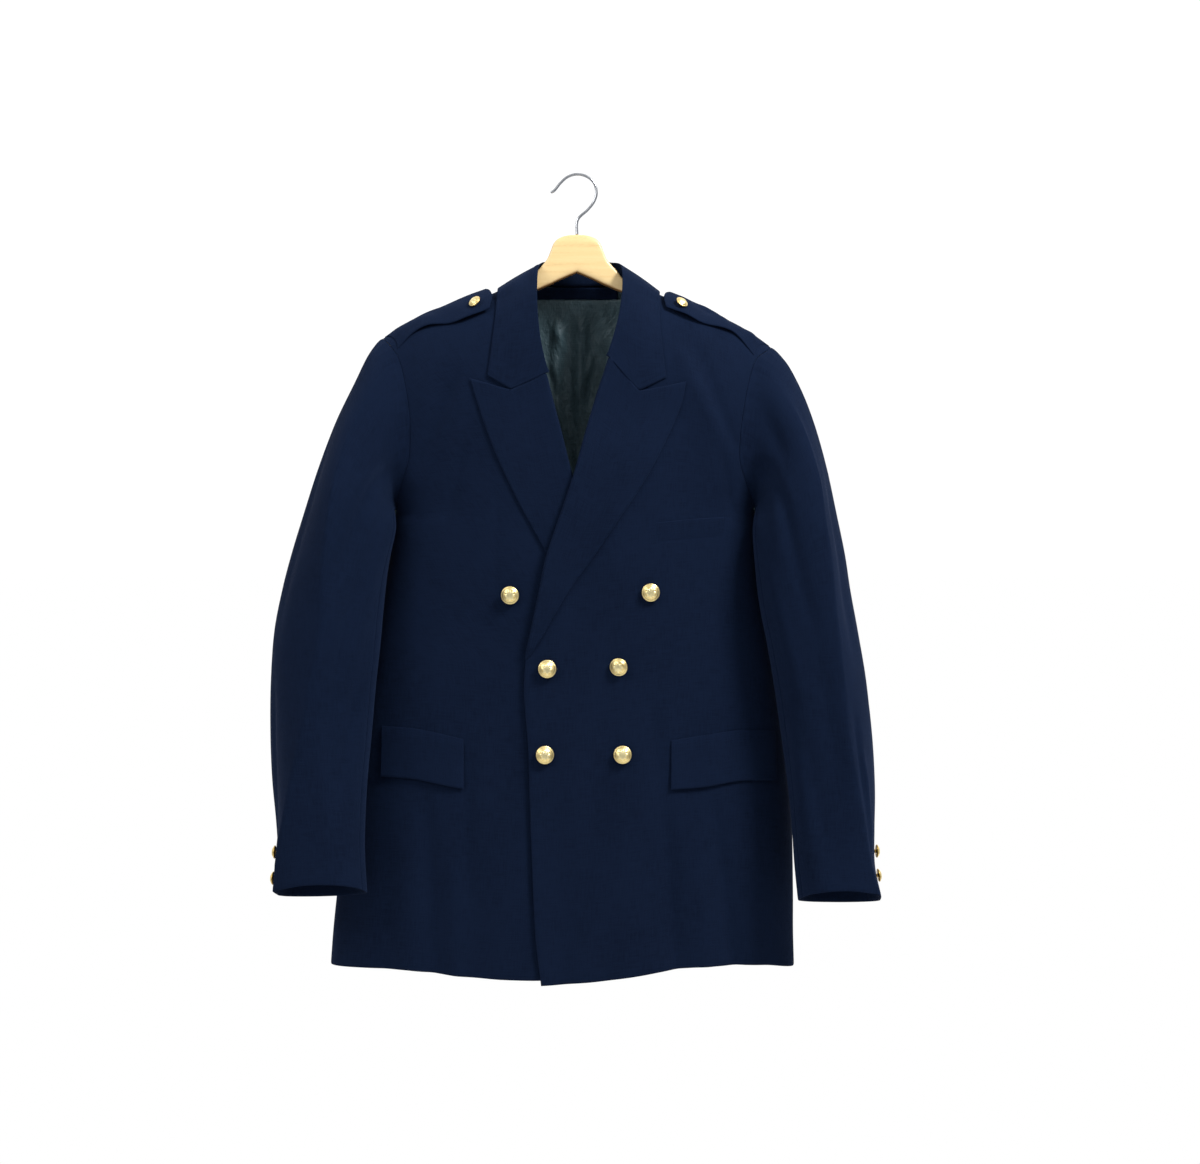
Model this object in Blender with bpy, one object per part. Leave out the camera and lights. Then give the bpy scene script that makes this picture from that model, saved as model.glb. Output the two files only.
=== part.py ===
"""Double-breasted jacket hanging on a wooden hanger with a wire hook.

Frame: metres, +Z up. The origin is the underside of the hook's top, where it hangs.
The front faces -Y and +X is the wearer's left side.
Sizes are millimetres unless a name says otherwise. A side is -1 for the wearer's right
and +1 for the wearer's left. A face is -1 for the front and +1 for the back.
"""
import math

import bpy
import numpy as np

MM = 0.001
RIGHT = -1
LEFT = 1
FRONT = -1
BACK = 1

# Cloth
CLOTH = 1.6
DOUBLED = 2.0
LINING = 1.0
SEAM = 0.3
REST_GAP = 0.7
EDGE_GAP = 0.4
SLOPE_STEP = 0.5

# Torso form
SIDE_ROUNDNESS = 2.2
FRONT_ROLL = 120.0
BACK_ROLL = 90.0
STEEPEST = 0.45

# Grid counts
ARMHOLE_STEPS = 9
SKIRT_STEPS = 9
FRONT_COLUMNS = 12
NECK_COLUMNS = 4
BACK_COLUMNS = 12
FACING_COLUMNS = 10
FACING_ROWS = 1
LINING_COLUMNS = 16
LINING_ROWS = 9
LAPEL_ROWS = 12
LAPEL_COLUMNS = 5
FLAP_ROWS = 2
FLAP_COLUMNS = 8
STRAP_COLUMNS = 10
STRAP_STEPS = 5
BUTTON_SEGMENTS = 16
WOOD_SEGMENTS = 12


def table(header, *rows):
    """Returns a dictionary with one list for each named column."""
    return {name: [row[i] for row in rows] for i, name in enumerate(header.split())}


# Half width of the body. Above the underarm it is the width that the rounded side would have.
HALF_WIDTH = table(
    "z right left",
    (-100, 264, 264),
    (-184, 255, 252),
    (-268, 238, 234),
    (-322, 224, 220),
    (-350, 215, 210),
    (-372, 207, 203),
    (-385, 205, 201),
    (-391, 208, 203),
    (-400, 209.5, 204),
    (-430, 212.5, 205),
    (-465, 219, 209.5),
    (-500, 225, 216),
    (-567, 236, 227),
    (-651, 249, 237),
    (-700, 256.5, 241),
    (-741, 263, 243),
    (-811, 271, 244),
    (-850, 275, 244),
    (-890, 278, 245),
)

# How far the front and the back stand off the hanger
DEPTH = table(
    "z front back",
    (-90, 56, 44),
    (-200, 62, 52),
    (-300, 69, 56),
    (-400, 70, 50),
    (-560, 65, 42),
    (-700, 64, 44),
    (-900, 62, 50),
)

# Height of the shoulder line at a distance from the middle
SHOULDER = table(
    "x right left",
    (0, -90, -90),
    (40, -98, -99),
    (62, -114, -115),
    (90, -131, -133),
    (120, -141, -144),
    (150, -151, -156),
    (180, -162, -171),
    (219, -184, -194),
    (262, -214, -226),
)
NECK_X = 62.0
TIP_X = 219.0
UNDERARM_Z = -385.0

# Armhole seam as seen from the front and from the back
ARMHOLE = table(
    "z right_front left_front right_back left_back",
    (-184, 219, 221, 219, 221),
    (-194, 209, 219, 214, 219),
    (-208, 199, 202, 209, 210),
    (-230, 192, 193, 204, 203),
    (-268, 185, 185, 200, 198),
    (-300, 184, 181, 198, 195),
    (-325, 186, 181, 199, 194),
    (-345, 193, 187, 200, 195),
    (-365, 200, 195, 202, 198),
    (-385, 205, 201, 205, 201),
)

# Neck edge, roll line and front edge of the two fronts, from top to bottom
FRONT_EDGE = table(
    "z under over",
    (-114, -62, 62),
    (-140, -59, 62),
    (-170, -53, 55),
    (-200, -45, 42.5),
    (-213, -40, 36),
    (-232, -33, 30),
    (-250, -28.5, 24),
    (-294, -17, 11),
    (-341, -5, -2),
    (-390, 10, -18),
    (-432, 22, -32),
    (-469, 32, -40),
    (-507, 43, -48),
    (-542, 54, -55),
    (-577, 57, -57),
    (-602, 57, -55.5),
    (-640, 56, -52.5),
    (-700, 55, -51),
    (-765, 54, -49),
    (-845, 52, -45),
    (-902, 50, -39),
)
BREAK_Z = -544.0

# Hem line of each front and of the back
HEM_UNDER = table("x z", (-278, -889), (-195, -888), (-118, -895), (-42, -897), (60, -893))
HEM_OVER = table("x z", (-45, -902), (-18, -901), (35, -896), (102, -887), (142, -884), (207, -885), (245, -891))
HEM_BACK = table("x z", (-278, -889), (-140, -894), (0, -896), (140, -891), (245, -891))

# Outer edges of the lapels, from peak to break
LAPEL_EDGE_UNDER = table(
    "z x", (-235, -117), (-270, -106), (-321, -87), (-366, -66), (-405, -45),
    (-430, -31), (-463, -11), (-500, 14), (-525, 34), (-541, 50),
)
LAPEL_EDGE_OVER = table(
    "z x", (-239, 121), (-268, 114), (-329, 85), (-385, 50), (-432, 19),
    (-463, -5), (-497, -25), (-520, -38), (-541, -51),
)
GORGE = {RIGHT: (-33, -231), LEFT: (35, -213)}
NOTCH = {RIGHT: (-71, -248.5), LEFT: (68, -250)}
PEAK = {RIGHT: (-117, -235), LEFT: (121, -239)}
COLLAR_CORNER = {RIGHT: (-98, -232), LEFT: (99, -234)}
NOTCH_COLUMN = 0.4
LAPEL_LIFT = 2.0
LAPEL_END = 4.0

# How far the over front is raised where it lies on the under front and its lapel
RAISE = 5.0
RAISE_INNER_X = 72.0
RAISE_OUTER_X = 130.0
RAISE_TOP_Z = -262.0
RAISE_FULL_Z = -336.0

# Collar stations from the gorge to the middle of the back.
# The fold is its top line, the edge its free edge and the stand its seam on the neck.
# A y of None means that the point lies on the front.
COLLAR = {
    RIGHT: table(
        "fold_x fold_y fold_z edge_x edge_y edge_z stand_x stand_y stand_z",
        (32, None, -229.6, 98, None, -232, 29.5, None, -228),
        (40, None, -196, 94, None, -200, 44.6, None, -195),
        (44, None, -162, 90.5, None, -167, 52.4, None, -163),
        (45, None, -134, 89.5, None, -147, 56.7, None, -138),
        (44.5, -21, -109, 89, -20, -132.5, 59.0, -19, -121),
        (41, 4, -98, 88, 6, -127.2, 58.8, 2, -117.5),
        (33, 24, -94, 73, 33, -137, 43, 23, -118),
        (18, 35, -92, 40, 44, -143, 23, 31.5, -120),
        (0, 38, -91.5, 0, 46, -144, 0, 35, -120.5),
    ),
    LEFT: table(
        "fold_x fold_y fold_z edge_x edge_y edge_z stand_x stand_y stand_z",
        (35, None, -211.6, 99, None, -234, 32.5, None, -210),
        (43.5, None, -184, 95, None, -202, 46.9, None, -185),
        (49, None, -160, 92.5, None, -170, 55.4, None, -162),
        (52, None, -134, 92.5, None, -149, 60.0, None, -139),
        (52, -21, -110, 93, -19, -136, 60.2, -19, -122),
        (49, 4, -99, 92, 6, -130.5, 59.0, 2, -118),
        (38, 25, -94.5, 75, 34, -138, 44, 23, -118.5),
        (20, 35, -92, 41, 44, -143, 24, 31.5, -120),
        (0, 38, -91.5, 0, 46, -144, 0, 35, -120.5),
    ),
}
COLLAR_ROWS = 20
COLLAR_FALL_COLUMNS = 4
COLLAR_LIFT = 4.5
COLLAR_REST = 2.5
COLLAR_LAYER = 1.5
COLLAR_NOTCH_SHARE = 0.5
FOLD_ROUND = 1.1
FOLD_DEPTH = 1.95
CROTCH_SHARE = 0.45
CROTCH_DEPTH = 0.9

# Shares of the way round at which the collar's underside starts to face down, faces down and faces front
COLLAR_DOWN_STARTS = 0.36
COLLAR_DOWN_ENDS = 0.62
COLLAR_FRONT_ENDS = 0.86

# Back neck opening, the facing strip inside it and the lining that shows through the neck
BACK_NECK = table("x z", (0, -122), (25, -121.4), (45, -119), (62, -114.5))
FACING_TOP = 1.0
FACING_SHOULDER_DROP = 12.0
FACING_BOTTOM_Z = -133.0
LINING_BOTTOM_Z = -440.0
LINING_HALF_WIDTH = 150.0
FACING_HALF_WIDTH = 48.0
LINING_GAP = 2.5
PLEAT_X = -6.0
PLEAT_DEPTH = 3.0
PLEAT_WIDTH = 5.0
PLEAT_FULL_Z = -220.0

# Soft folds of the body: a line on one face with a half width and a height (negative is a trough)
BODY_FOLDS = table(
    "face x0 z0 x1 z1 width height",
    (FRONT, -112, -720, -110, -890, 20, -3.0),
    (FRONT, -160, -730, -150, -885, 20, -5.0),
    (FRONT, 88, -720, 112, -885, 20, -4.0),
    (FRONT, 158, -730, 174, -885, 20, -5.5),
    (FRONT, -178, -335, -130, -232, 20, -4.0),
    (FRONT, -145, -420, -120, -320, 20, -3.0),
    (FRONT, 112, -200, 165, -340, 20, 4.0),
    (BACK, -182, -345, -110, -460, 22, -6.0),
    (BACK, 178, -345, 105, -470, 22, -6.0),
    (BACK, -95, -560, -118, -889, 22, -6.0),
    (BACK, 92, -600, 110, -889, 22, -5.5),
    (BACK, -180, -640, -196, -889, 20, -4.5),
    (BACK, 165, -600, 178, -889, 20, -4.5),
)
FOLD_RISE = 3.0
HEM_FOLD_Z = -860.0

# Sleeve rings: outer and inner points seen from the front, middle and half depth,
# how far the ring has left the armhole, and where round it the front crease runs
SLEEVE = {
    RIGHT: table(
        "out_x out_z in_x in_z mid_y half_depth free crease",
        (231, -193, 212, -375, -6, 44, 0.35, 50),
        (243, -213, 212, -376, -12, 50, 0.60, 52),
        (256, -247, 211, -378, -19, 55, 0.80, 58),
        (269, -288, 208, -386, -27, 58, 0.93, 64),
        (284, -337, 206.5, -402, -34, 60, 1.00, 70),
        (298, -385, 208, -430, -40, 60, 1.00, 76),
        (312, -430, 211, -462, -45, 59, 1.00, 82),
        (324, -470, 214, -494, -48, 58, 1.00, 88),
        (333, -515, 216.5, -527, -51, 56, 1.00, 90),
        (337, -570, 221, -572, -54, 53, 1.00, 86),
        (338.5, -625, 225, -625, -58, 50, 1.00, 77),
        (337, -675, 229, -675, -63, 47, 1.00, 66),
        (332.5, -720, 231, -718, -68, 45, 1.00, 54),
        (329, -760, 231, -757, -72, 43, 1.00, 40),
        (327, -801, 228, -798, -76, 42, 1.00, 30),
    ),
    LEFT: table(
        "out_x out_z in_x in_z mid_y half_depth free crease",
        (234, -206, 208, -375, -6, 44, 0.35, 48),
        (247, -225, 208, -376, -12, 50, 0.60, 50),
        (259.5, -255, 206, -378, -19, 55, 0.80, 52),
        (270, -292, 203, -386, -28, 59, 0.93, 54),
        (280, -338, 200, -402, -37, 62, 1.00, 56),
        (288.5, -383, 198.5, -430, -44, 61.5, 1.00, 59),
        (297, -428, 200, -463, -48, 59, 1.00, 62),
        (303, -470, 204.5, -495, -50, 58, 1.00, 65),
        (311, -515, 211, -527, -52, 56, 1.00, 68),
        (320, -570, 218.5, -573, -55, 53, 1.00, 71),
        (325.5, -628, 225.5, -628, -59, 50, 1.00, 72),
        (328, -685, 232, -685, -64, 47, 1.00, 66),
        (327.5, -730, 235.5, -728, -69, 45, 1.00, 58),
        (328, -768, 238, -766, -73, 43, 1.00, 50),
        (334, -806, 242, -806, -77, 42, 1.00, 42),
    ),
}
CREASE_HEIGHT = 3.5
CREASE_SPREAD = 20.0
CUFF_RINGS = 4
CUFF_FRONT_RISE = 16.0
CUFF_BACK_DROP = 9.0
HINDARM_STEP = -2
FOREARM_STEP = 8
SLEEVE_SEAM = 0.6
ARMHOLE_AXIS_OUT = 12.0
ARMHOLE_AXIS_Y = -5.0
TIP_TILT = 0.4

# Pocket flaps and the chest welt, each from its end near the middle to its outer end
FLAP = {
    RIGHT: table("x top bottom", (-124, -632, -687), (-150, -626, -682), (-178, -621, -677), (-216, -619, -675)),
    LEFT: table("x top bottom", (104, -633, -687), (140, -628, -685), (180, -623, -679), (221, -625, -680)),
}
FLAP_OUT = 2.5
FLAP_FLARE = 1.5
WELT = table("x top bottom", (86, -394, -416), (125, -390, -412), (164, -387, -409))
WELT_OUT = 1.6
WELT_LAYER = 1.2

# Shoulder straps: the front edge of each and how far it stands off the shoulder
STRAP = {
    RIGHT: table("x edge", (94, -157), (121, -168), (140, -172), (163, -174), (182, -182), (200, -199)),
    LEFT: table("x edge", (97, -155), (114, -162), (134, -170), (162, -177), (178, -184), (198, -206)),
}
STRAP_END = table("share inset", (0.0, 0.0), (0.2, -2.0), (0.4, 1.0), (0.65, 8.0), (1.0, 10.0))
STRAP_BACK_ANGLE = 20.0
STRAP_LIFT = 2.4
STRAP_END_LIFT = 3.5
STRAP_WAVE = 1.5
STRAP_WAVES = 2.2
STRAP_SEAM = 2.0
STRAP_SEAM_TURN = 0.6

# Buttons
BUTTON_RADIUS = 10.2
SMALL_BUTTON_RADIUS = 7.2
BUTTON_PROFILE = table(
    "radius height", (0.27, 0.0), (0.27, 0.24), (0.90, 0.26), (1.0, 0.38), (0.94, 0.50), (0.66, 0.68), (0.30, 0.77),
)
BUTTON_TOP = 0.79
FRONT_BUTTONS = table(
    "name x z",
    ("button_upper_right", -72, -473),
    ("button_upper_left", 81, -470),
    ("button_middle_right", -32, -554),
    ("button_middle_left", 47, -551),
    ("button_lower_right", -35, -648),
    ("button_lower_left", 51, -648),
)
STRAP_BUTTON = {RIGHT: (-109, 0.27), LEFT: (113, 0.27)}
CUFF_BUTTON_Z = (-752.0, -780.0)
CUFF_BUTTON_ANGLE = {RIGHT: 14.0, LEFT: -8.0}

# Hanger
WOOD_PROFILE = table(
    "x top bottom half_thickness",
    (0, -67, -110, 6.5),
    (12, -68, -115, 6.5),
    (22, -72, -119.5, 6.5),
    (27, -78, -122, 6.5),
    (30, -86, -123.5, 6.5),
    (34, -95, -125, 6.5),
    (44, -107, -129.5, 6.5),
    (56, -120.5, -134, 6.5),
)
ARM_START_X = 68.0
ARM_END_X = 212.0
ARM_STEPS = 11
ARM_CLEARANCE = 3.9
ARM_START_HEIGHT = 17.0
ARM_END_HEIGHT = 11.0
ARM_TIP_DROP = 4.0
ARM_TIP_THINNING = 2.0
ARM_TIP_STEPS = 2
WOOD_SQUARENESS = 0.55
WIRE_RADIUS = 1.7
WIRE_ROUNDNESS = 3
HOOK_PATH = table(
    "x z", (0, -66.6), (0, -52), (3, -46), (12, -38), (19.5, -28), (22, -18), (19, -7), (10, 0.2),
    (-1, 2.2), (-11, -1), (-19, -8), (-26, -16.5), (-30, -18.5),
)
HOOK_STEPS = 36

COLOURS = {
    "wool": ((0.012, 0.018, 0.045), 0.9, 0.0),
    "satin": ((0.018, 0.024, 0.026), 0.45, 0.0),
    "gold": ((0.80, 0.55, 0.18), 0.25, 1.0),
    "beech": ((0.80, 0.58, 0.30), 0.5, 0.0),
    "chrome": ((0.80, 0.80, 0.80), 0.15, 1.0),
}


def read(rows, key, value, at):
    """Reads a smooth curve through the table's rows, held level past its ends."""
    keys = rows[key]
    values = rows[value]
    if keys[0] > keys[-1]:
        keys = keys[::-1]
        values = values[::-1]
    if at <= keys[0]:
        return float(values[0])
    if at >= keys[-1]:
        return float(values[-1])
    i = int(np.searchsorted(keys, at)) - 1
    span = keys[i + 1] - keys[i]
    slope = (values[i + 1] - values[i]) / span
    before = slope if i == 0 else (values[i + 1] - values[i - 1]) / (keys[i + 1] - keys[i - 1])
    after = slope if i + 2 == len(keys) else (values[i + 2] - values[i]) / (keys[i + 2] - keys[i])
    t = (at - keys[i]) / span
    return (
        (1 + 2 * t) * (1 - t) ** 2 * values[i]
        + t * (1 - t) ** 2 * span * before
        + t * t * (3 - 2 * t) * values[i + 1]
        + t * t * (t - 1) * span * after
    )


def step_up(at, low, high):
    """Rises smoothly from 0 at low to 1 at high."""
    t = min(1.0, max(0.0, (at - low) / (high - low)))
    return t * t * (3 - 2 * t)


def mix(a, b, t):
    return np.asarray(a, float) * (1 - t) + np.asarray(b, float) * t


def unit(vector):
    return vector / max(np.linalg.norm(vector), 1e-9)


def side_name(side):
    return "right" if side == RIGHT else "left"


# Torso surface

def half_width(side, z):
    return read(HALF_WIDTH, "z", side_name(side), z)


def shoulder_z(side, x):
    return read(SHOULDER, "x", side_name(side), abs(x))


def body_fold(x, z, face):
    """Height of the soft folds at a place on one face."""
    height = 0.0
    for i, fold_face in enumerate(BODY_FOLDS["face"]):
        if fold_face != face:
            continue
        start = np.array((BODY_FOLDS["x0"][i], BODY_FOLDS["z0"][i]), float)
        run = np.array((BODY_FOLDS["x1"][i], BODY_FOLDS["z1"][i]), float) - start
        length = np.linalg.norm(run)
        offset = np.array((x, z)) - start
        along = offset @ run / length
        across = (offset[0] * run[1] - offset[1] * run[0]) / length
        width = BODY_FOLDS["width"][i]
        share = step_up(along, -width, width * FOLD_RISE)
        if BODY_FOLDS["z1"][i] > HEM_FOLD_Z:
            share *= 1 - step_up(along, length - width, length + width * FOLD_RISE)
        height += BODY_FOLDS["height"][i] * share * math.exp(-((across / width) ** 2))
    return height


def torso_y(x, z, face):
    """Depth of the body's outer surface."""
    side = RIGHT if x < 0 else LEFT
    roll = FRONT_ROLL if face == FRONT else BACK_ROLL
    drop = min(max(shoulder_z(side, x) - z, 0.0), roll)
    rounded_top = math.sqrt(1 - ((roll - drop) / roll) ** 2)
    across = min(abs(x) / half_width(side, z), 1.0)
    rounded_side = (1 - across ** SIDE_ROUNDNESS) ** (1 / SIDE_ROUNDNESS)
    depth = read(DEPTH, "z", "front" if face == FRONT else "back", z)
    return face * (depth + body_fold(x, z, face)) * rounded_top * rounded_side


def torso_normal(x, z, face):
    side = RIGHT if x < 0 else LEFT
    y = torso_y(x, z, face)
    slope_x = (y - torso_y(x - side * SLOPE_STEP, z, face)) / (side * SLOPE_STEP)
    slope_z = (y - torso_y(x, z - SLOPE_STEP, face)) / SLOPE_STEP
    return unit(face * np.array((-slope_x, 1.0, -slope_z)))


def skin(x, z, face, out):
    """A point on the torso moved out along the surface's normal."""
    return np.array((x, torso_y(x, z, face), z)) + torso_normal(x, z, face) * out


def raise_share(x, z):
    """How far the over front has risen onto what it overlaps, from 0 to 1."""
    return (1 - step_up(x, RAISE_INNER_X, RAISE_OUTER_X)) * step_up(-z, -RAISE_TOP_Z, -RAISE_FULL_Z)


def own_half(point, face):
    """Keeps a panel's point on its own side of the shoulder and side seams."""
    point[1] = face * max(face * point[1], SEAM / 2)
    return point


# Mesh making

def wall(name, outer, inner, material):
    """A closed wall between two grids of points given in the same order."""
    outer = np.asarray(outer, float)
    inner = np.asarray(inner, float)
    rows, columns = outer.shape[:2]
    points = np.concatenate((outer.reshape(-1, 3), inner.reshape(-1, 3)))
    back = rows * columns

    def at(i, j, layer):
        return layer * back + i * columns + j

    faces = []
    for i in range(rows - 1):
        for j in range(columns - 1):
            faces.append((at(i, j, 0), at(i, j + 1, 0), at(i + 1, j + 1, 0), at(i + 1, j, 0)))
            faces.append((at(i, j, 1), at(i + 1, j, 1), at(i + 1, j + 1, 1), at(i, j + 1, 1)))
    rim = [(0, j) for j in range(columns - 1)]
    rim += [(i, columns - 1) for i in range(rows - 1)]
    rim += [(rows - 1, j) for j in range(columns - 1, 0, -1)]
    rim += [(i, 0) for i in range(rows - 1, 0, -1)]
    for k, here in enumerate(rim):
        there = rim[(k + 1) % len(rim)]
        faces.append((at(*there, 0), at(*here, 0), at(*here, 1), at(*there, 1)))
    return solid(name, points, faces, material)


def swept(name, loops, material, cap=None):
    """A closed solid through loops of points. Each end has the given cap faces or else a fan."""
    loops = np.asarray(loops, float)
    count, around = loops.shape[:2]
    points = loops.reshape(-1, 3)
    faces = []
    for i in range(count - 1):
        for j in range(around):
            k = (j + 1) % around
            faces.append((i * around + j, i * around + k, (i + 1) * around + k, (i + 1) * around + j))
    end = (count - 1) * around
    if cap:
        faces += [face[::-1] for face in cap]
        faces += [tuple(end + k for k in face) for face in cap]
        return solid(name, points, faces, material)
    first = count * around
    points = np.concatenate((points, [loops[0].mean(0), loops[-1].mean(0)]))
    for j in range(around):
        k = (j + 1) % around
        faces.append((first, k, j))
        faces.append((first + 1, end + j, end + k))
    return solid(name, points, faces, material)


def solid(name, points, faces, material):
    """Makes the object, with its faces pointing out."""
    points = np.asarray(points, float)
    volume = 0.0
    for face in faces:
        for k in range(1, len(face) - 1):
            volume += points[face[0]] @ np.cross(points[face[k]], points[face[k + 1]])
    if volume < 0:
        faces = [face[::-1] for face in faces]
    mesh = bpy.data.meshes.new(name)
    mesh.from_pydata((points * MM).tolist(), [], faces)
    mesh.shade_smooth()
    mesh.materials.append(surface(material))
    thing = bpy.data.objects.new(name, mesh)
    bpy.context.scene.collection.objects.link(thing)
    return thing


def surface(name):
    """The material of this name, made once."""
    found = bpy.data.materials.get(name)
    if found:
        return found
    colour, roughness, metallic = COLOURS[name]
    material = bpy.data.materials.new(name)
    material.use_nodes = True
    shader = material.node_tree.nodes["Principled BSDF"]
    shader.inputs["Base Color"].default_value = (*colour, 1.0)
    shader.inputs["Roughness"].default_value = roughness
    shader.inputs["Metallic"].default_value = metallic
    material.diffuse_color = (*colour, 1.0)
    return material


# Fronts and backs

def panel_rows():
    """The rows of a body panel: the share from its top to its hem, above and below the underarm."""
    rows = [((1 - math.cos(math.pi * i / ARMHOLE_STEPS)) / 2, 0.0) for i in range(ARMHOLE_STEPS + 1)]
    rows += [(1.0, (i + 1) / SKIRT_STEPS) for i in range(SKIRT_STEPS)]
    return rows


def armhole_x(side, face, z):
    column = side_name(side) + ("_front" if face == FRONT else "_back")
    return side * read(ARMHOLE, "z", column, z)


def side_edge(side, face, above, below, hem_z):
    """A point of the armhole seam or, under the arm, of the side seam."""
    tip_z = shoulder_z(side, TIP_X)
    if below == 0.0:
        z = tip_z + (UNDERARM_Z - tip_z) * above
        if above == 0.0:
            return np.array((side * TIP_X, z))
        if above == 1.0:
            return np.array((side * half_width(side, z), z))
        return np.array((armhole_x(side, face, z), z))
    z = UNDERARM_Z + (hem_z - UNDERARM_Z) * below
    return np.array((side * half_width(side, z), z))


def patch(inner, outer, top, bottom, shares, spread):
    """Places on a panel between its four edges, each row by its share from top to bottom."""
    rows = []
    for i, share in enumerate(shares):
        row = []
        for j, u in enumerate(spread):
            place = mix(inner[i], outer[i], u)
            place = place + (1 - share) * (top[j] - mix(inner[0], outer[0], u))
            place = place + share * (bottom[j] - mix(inner[-1], outer[-1], u))
            row.append(place)
        rows.append(row)
    return rows


def panel_shares(rows):
    return [(above * ARMHOLE_STEPS + below * SKIRT_STEPS) / (ARMHOLE_STEPS + SKIRT_STEPS) for above, below in rows]


def front_places(side, columns):
    """Rows of (x, z) places on one front."""
    edge = "under" if side == RIGHT else "over"
    hem = HEM_UNDER if side == RIGHT else HEM_OVER
    rows = panel_rows()
    side_hem = read(hem, "x", "z", side * half_width(side, HEM_BACK["z"][0]))
    neck_z = shoulder_z(side, NECK_X)
    last_x = read(FRONT_EDGE, "z", edge, FRONT_EDGE["z"][-1])
    front_hem = read(hem, "x", "z", last_x)
    inner = []
    outer = []
    for above, below in rows:
        z = neck_z + (UNDERARM_Z - neck_z) * above + (front_hem - UNDERARM_Z) * below
        inner.append(np.array((read(FRONT_EDGE, "z", edge, z), z)))
        outer.append(side_edge(side, FRONT, above, below, side_hem))
    spread = [math.sin(math.pi / 2 * j / columns) for j in range(columns + 1)]
    top = []
    bottom = []
    for u in spread:
        x = mix(inner[0][0], outer[0][0], u)
        top.append(np.array((x, shoulder_z(side, x))))
        x = mix(inner[-1][0], outer[-1][0], u)
        bottom.append(np.array((x, read(hem, "x", "z", x))))
    return patch(inner, outer, top, bottom, panel_shares(rows), spread)


def back_places(side, columns):
    """Rows of (x, z) places on one half of the back."""
    rows = panel_rows()
    side_hem = read(HEM_BACK, "x", "z", side * half_width(side, HEM_BACK["z"][0]))
    centre_top = BACK_NECK["z"][0]
    centre_hem = read(HEM_BACK, "x", "z", 0)
    centre = side * SEAM / 2
    inner = []
    outer = []
    for above, below in rows:
        z = centre_top + (UNDERARM_Z - centre_top) * above + (centre_hem - UNDERARM_Z) * below
        inner.append(np.array((centre, z)))
        outer.append(side_edge(side, BACK, above, below, side_hem))
    neck_share = NECK_X / TIP_X
    spread = [neck_share * j / NECK_COLUMNS for j in range(NECK_COLUMNS)]
    for j in range(columns - NECK_COLUMNS + 1):
        spread.append(mix(neck_share, 1, math.sin(math.pi / 2 * j / (columns - NECK_COLUMNS))))
    top = []
    bottom = []
    for u in spread:
        if u <= neck_share:
            x = mix(abs(centre), NECK_X, u / neck_share)
            z = read(BACK_NECK, "x", "z", x) + (shoulder_z(side, NECK_X) - BACK_NECK["z"][-1]) * u / neck_share
        else:
            x = mix(NECK_X, TIP_X, (u - neck_share) / (1 - neck_share))
            z = shoulder_z(side, x)
        top.append(np.array((side * x, z)))
        x = mix(inner[-1][0], outer[-1][0], u)
        bottom.append(np.array((x, read(HEM_BACK, "x", "z", x))))
    return patch(inner, outer, top, bottom, panel_shares(rows), spread)


def panel(name, places, face, out_at):
    outer = []
    inner = []
    for row in places:
        outer.append([own_half(skin(x, z, face, out_at(x, z)), face) for x, z in row])
        inner.append([own_half(skin(x, z, face, out_at(x, z) - CLOTH), face) for x, z in row])
    return wall(name, outer, inner, "wool")


def make_body():
    panel("front_right", front_places(RIGHT, FRONT_COLUMNS), FRONT, lambda x, z: 0.0)
    panel("front_left", front_places(LEFT, FRONT_COLUMNS), FRONT, lambda x, z: RAISE * raise_share(x, z))
    for side in (RIGHT, LEFT):
        panel("back_" + side_name(side), back_places(side, BACK_COLUMNS), BACK, lambda x, z: 0.0)


# Lapels and collar

def lapel_places(side):
    edge = "under" if side == RIGHT else "over"
    rim = LAPEL_EDGE_UNDER if side == RIGHT else LAPEL_EDGE_OVER
    roll = []
    free = []
    shares = [i / LAPEL_ROWS for i in range(LAPEL_ROWS + 1)]
    for share in shares:
        z = GORGE[side][1] + (BREAK_Z - GORGE[side][1]) * share
        roll.append(np.array((read(FRONT_EDGE, "z", edge, z) - side, z)))
        z = PEAK[side][1] + (rim["z"][-1] - PEAK[side][1]) * share
        free.append(np.array((read(rim, "z", "x", z), z)))
    free[-1] = roll[-1] + np.array((side * LAPEL_END, LAPEL_END / 2))
    spread = [j / LAPEL_COLUMNS for j in range(LAPEL_COLUMNS + 1)]
    top = []
    bottom = []
    for u in spread:
        if u <= NOTCH_COLUMN:
            top.append(mix(roll[0], NOTCH[side], u / NOTCH_COLUMN))
        else:
            top.append(mix(NOTCH[side], PEAK[side], (u - NOTCH_COLUMN) / (1 - NOTCH_COLUMN)))
        bottom.append(mix(roll[-1], free[-1], u))
    weights = [share ** 0.5 for share in shares]
    return patch(roll, free, top, bottom, weights, spread), spread


def lapel_out(side, x, z, u):
    """Height of a lapel's face over the bare torso."""
    lift = LAPEL_LIFT * (1 - u) ** 3
    if side == RIGHT:
        return REST_GAP + DOUBLED + lift * (1 - step_up(-z, -RAISE_TOP_Z, -RAISE_FULL_Z))
    return REST_GAP + DOUBLED + lift + RAISE * raise_share(x, z)


def make_lapel(side):
    places, spread = lapel_places(side)
    outer = []
    inner = []
    for row in places:
        out = [lapel_out(side, x, z, u) for (x, z), u in zip(row, spread)]
        outer.append([skin(x, z, FRONT, d) for (x, z), d in zip(row, out)])
        inner.append([skin(x, z, FRONT, d - DOUBLED) for (x, z), d in zip(row, out)])
    wall("lapel_" + side_name(side), outer, inner, "wool")


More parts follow.
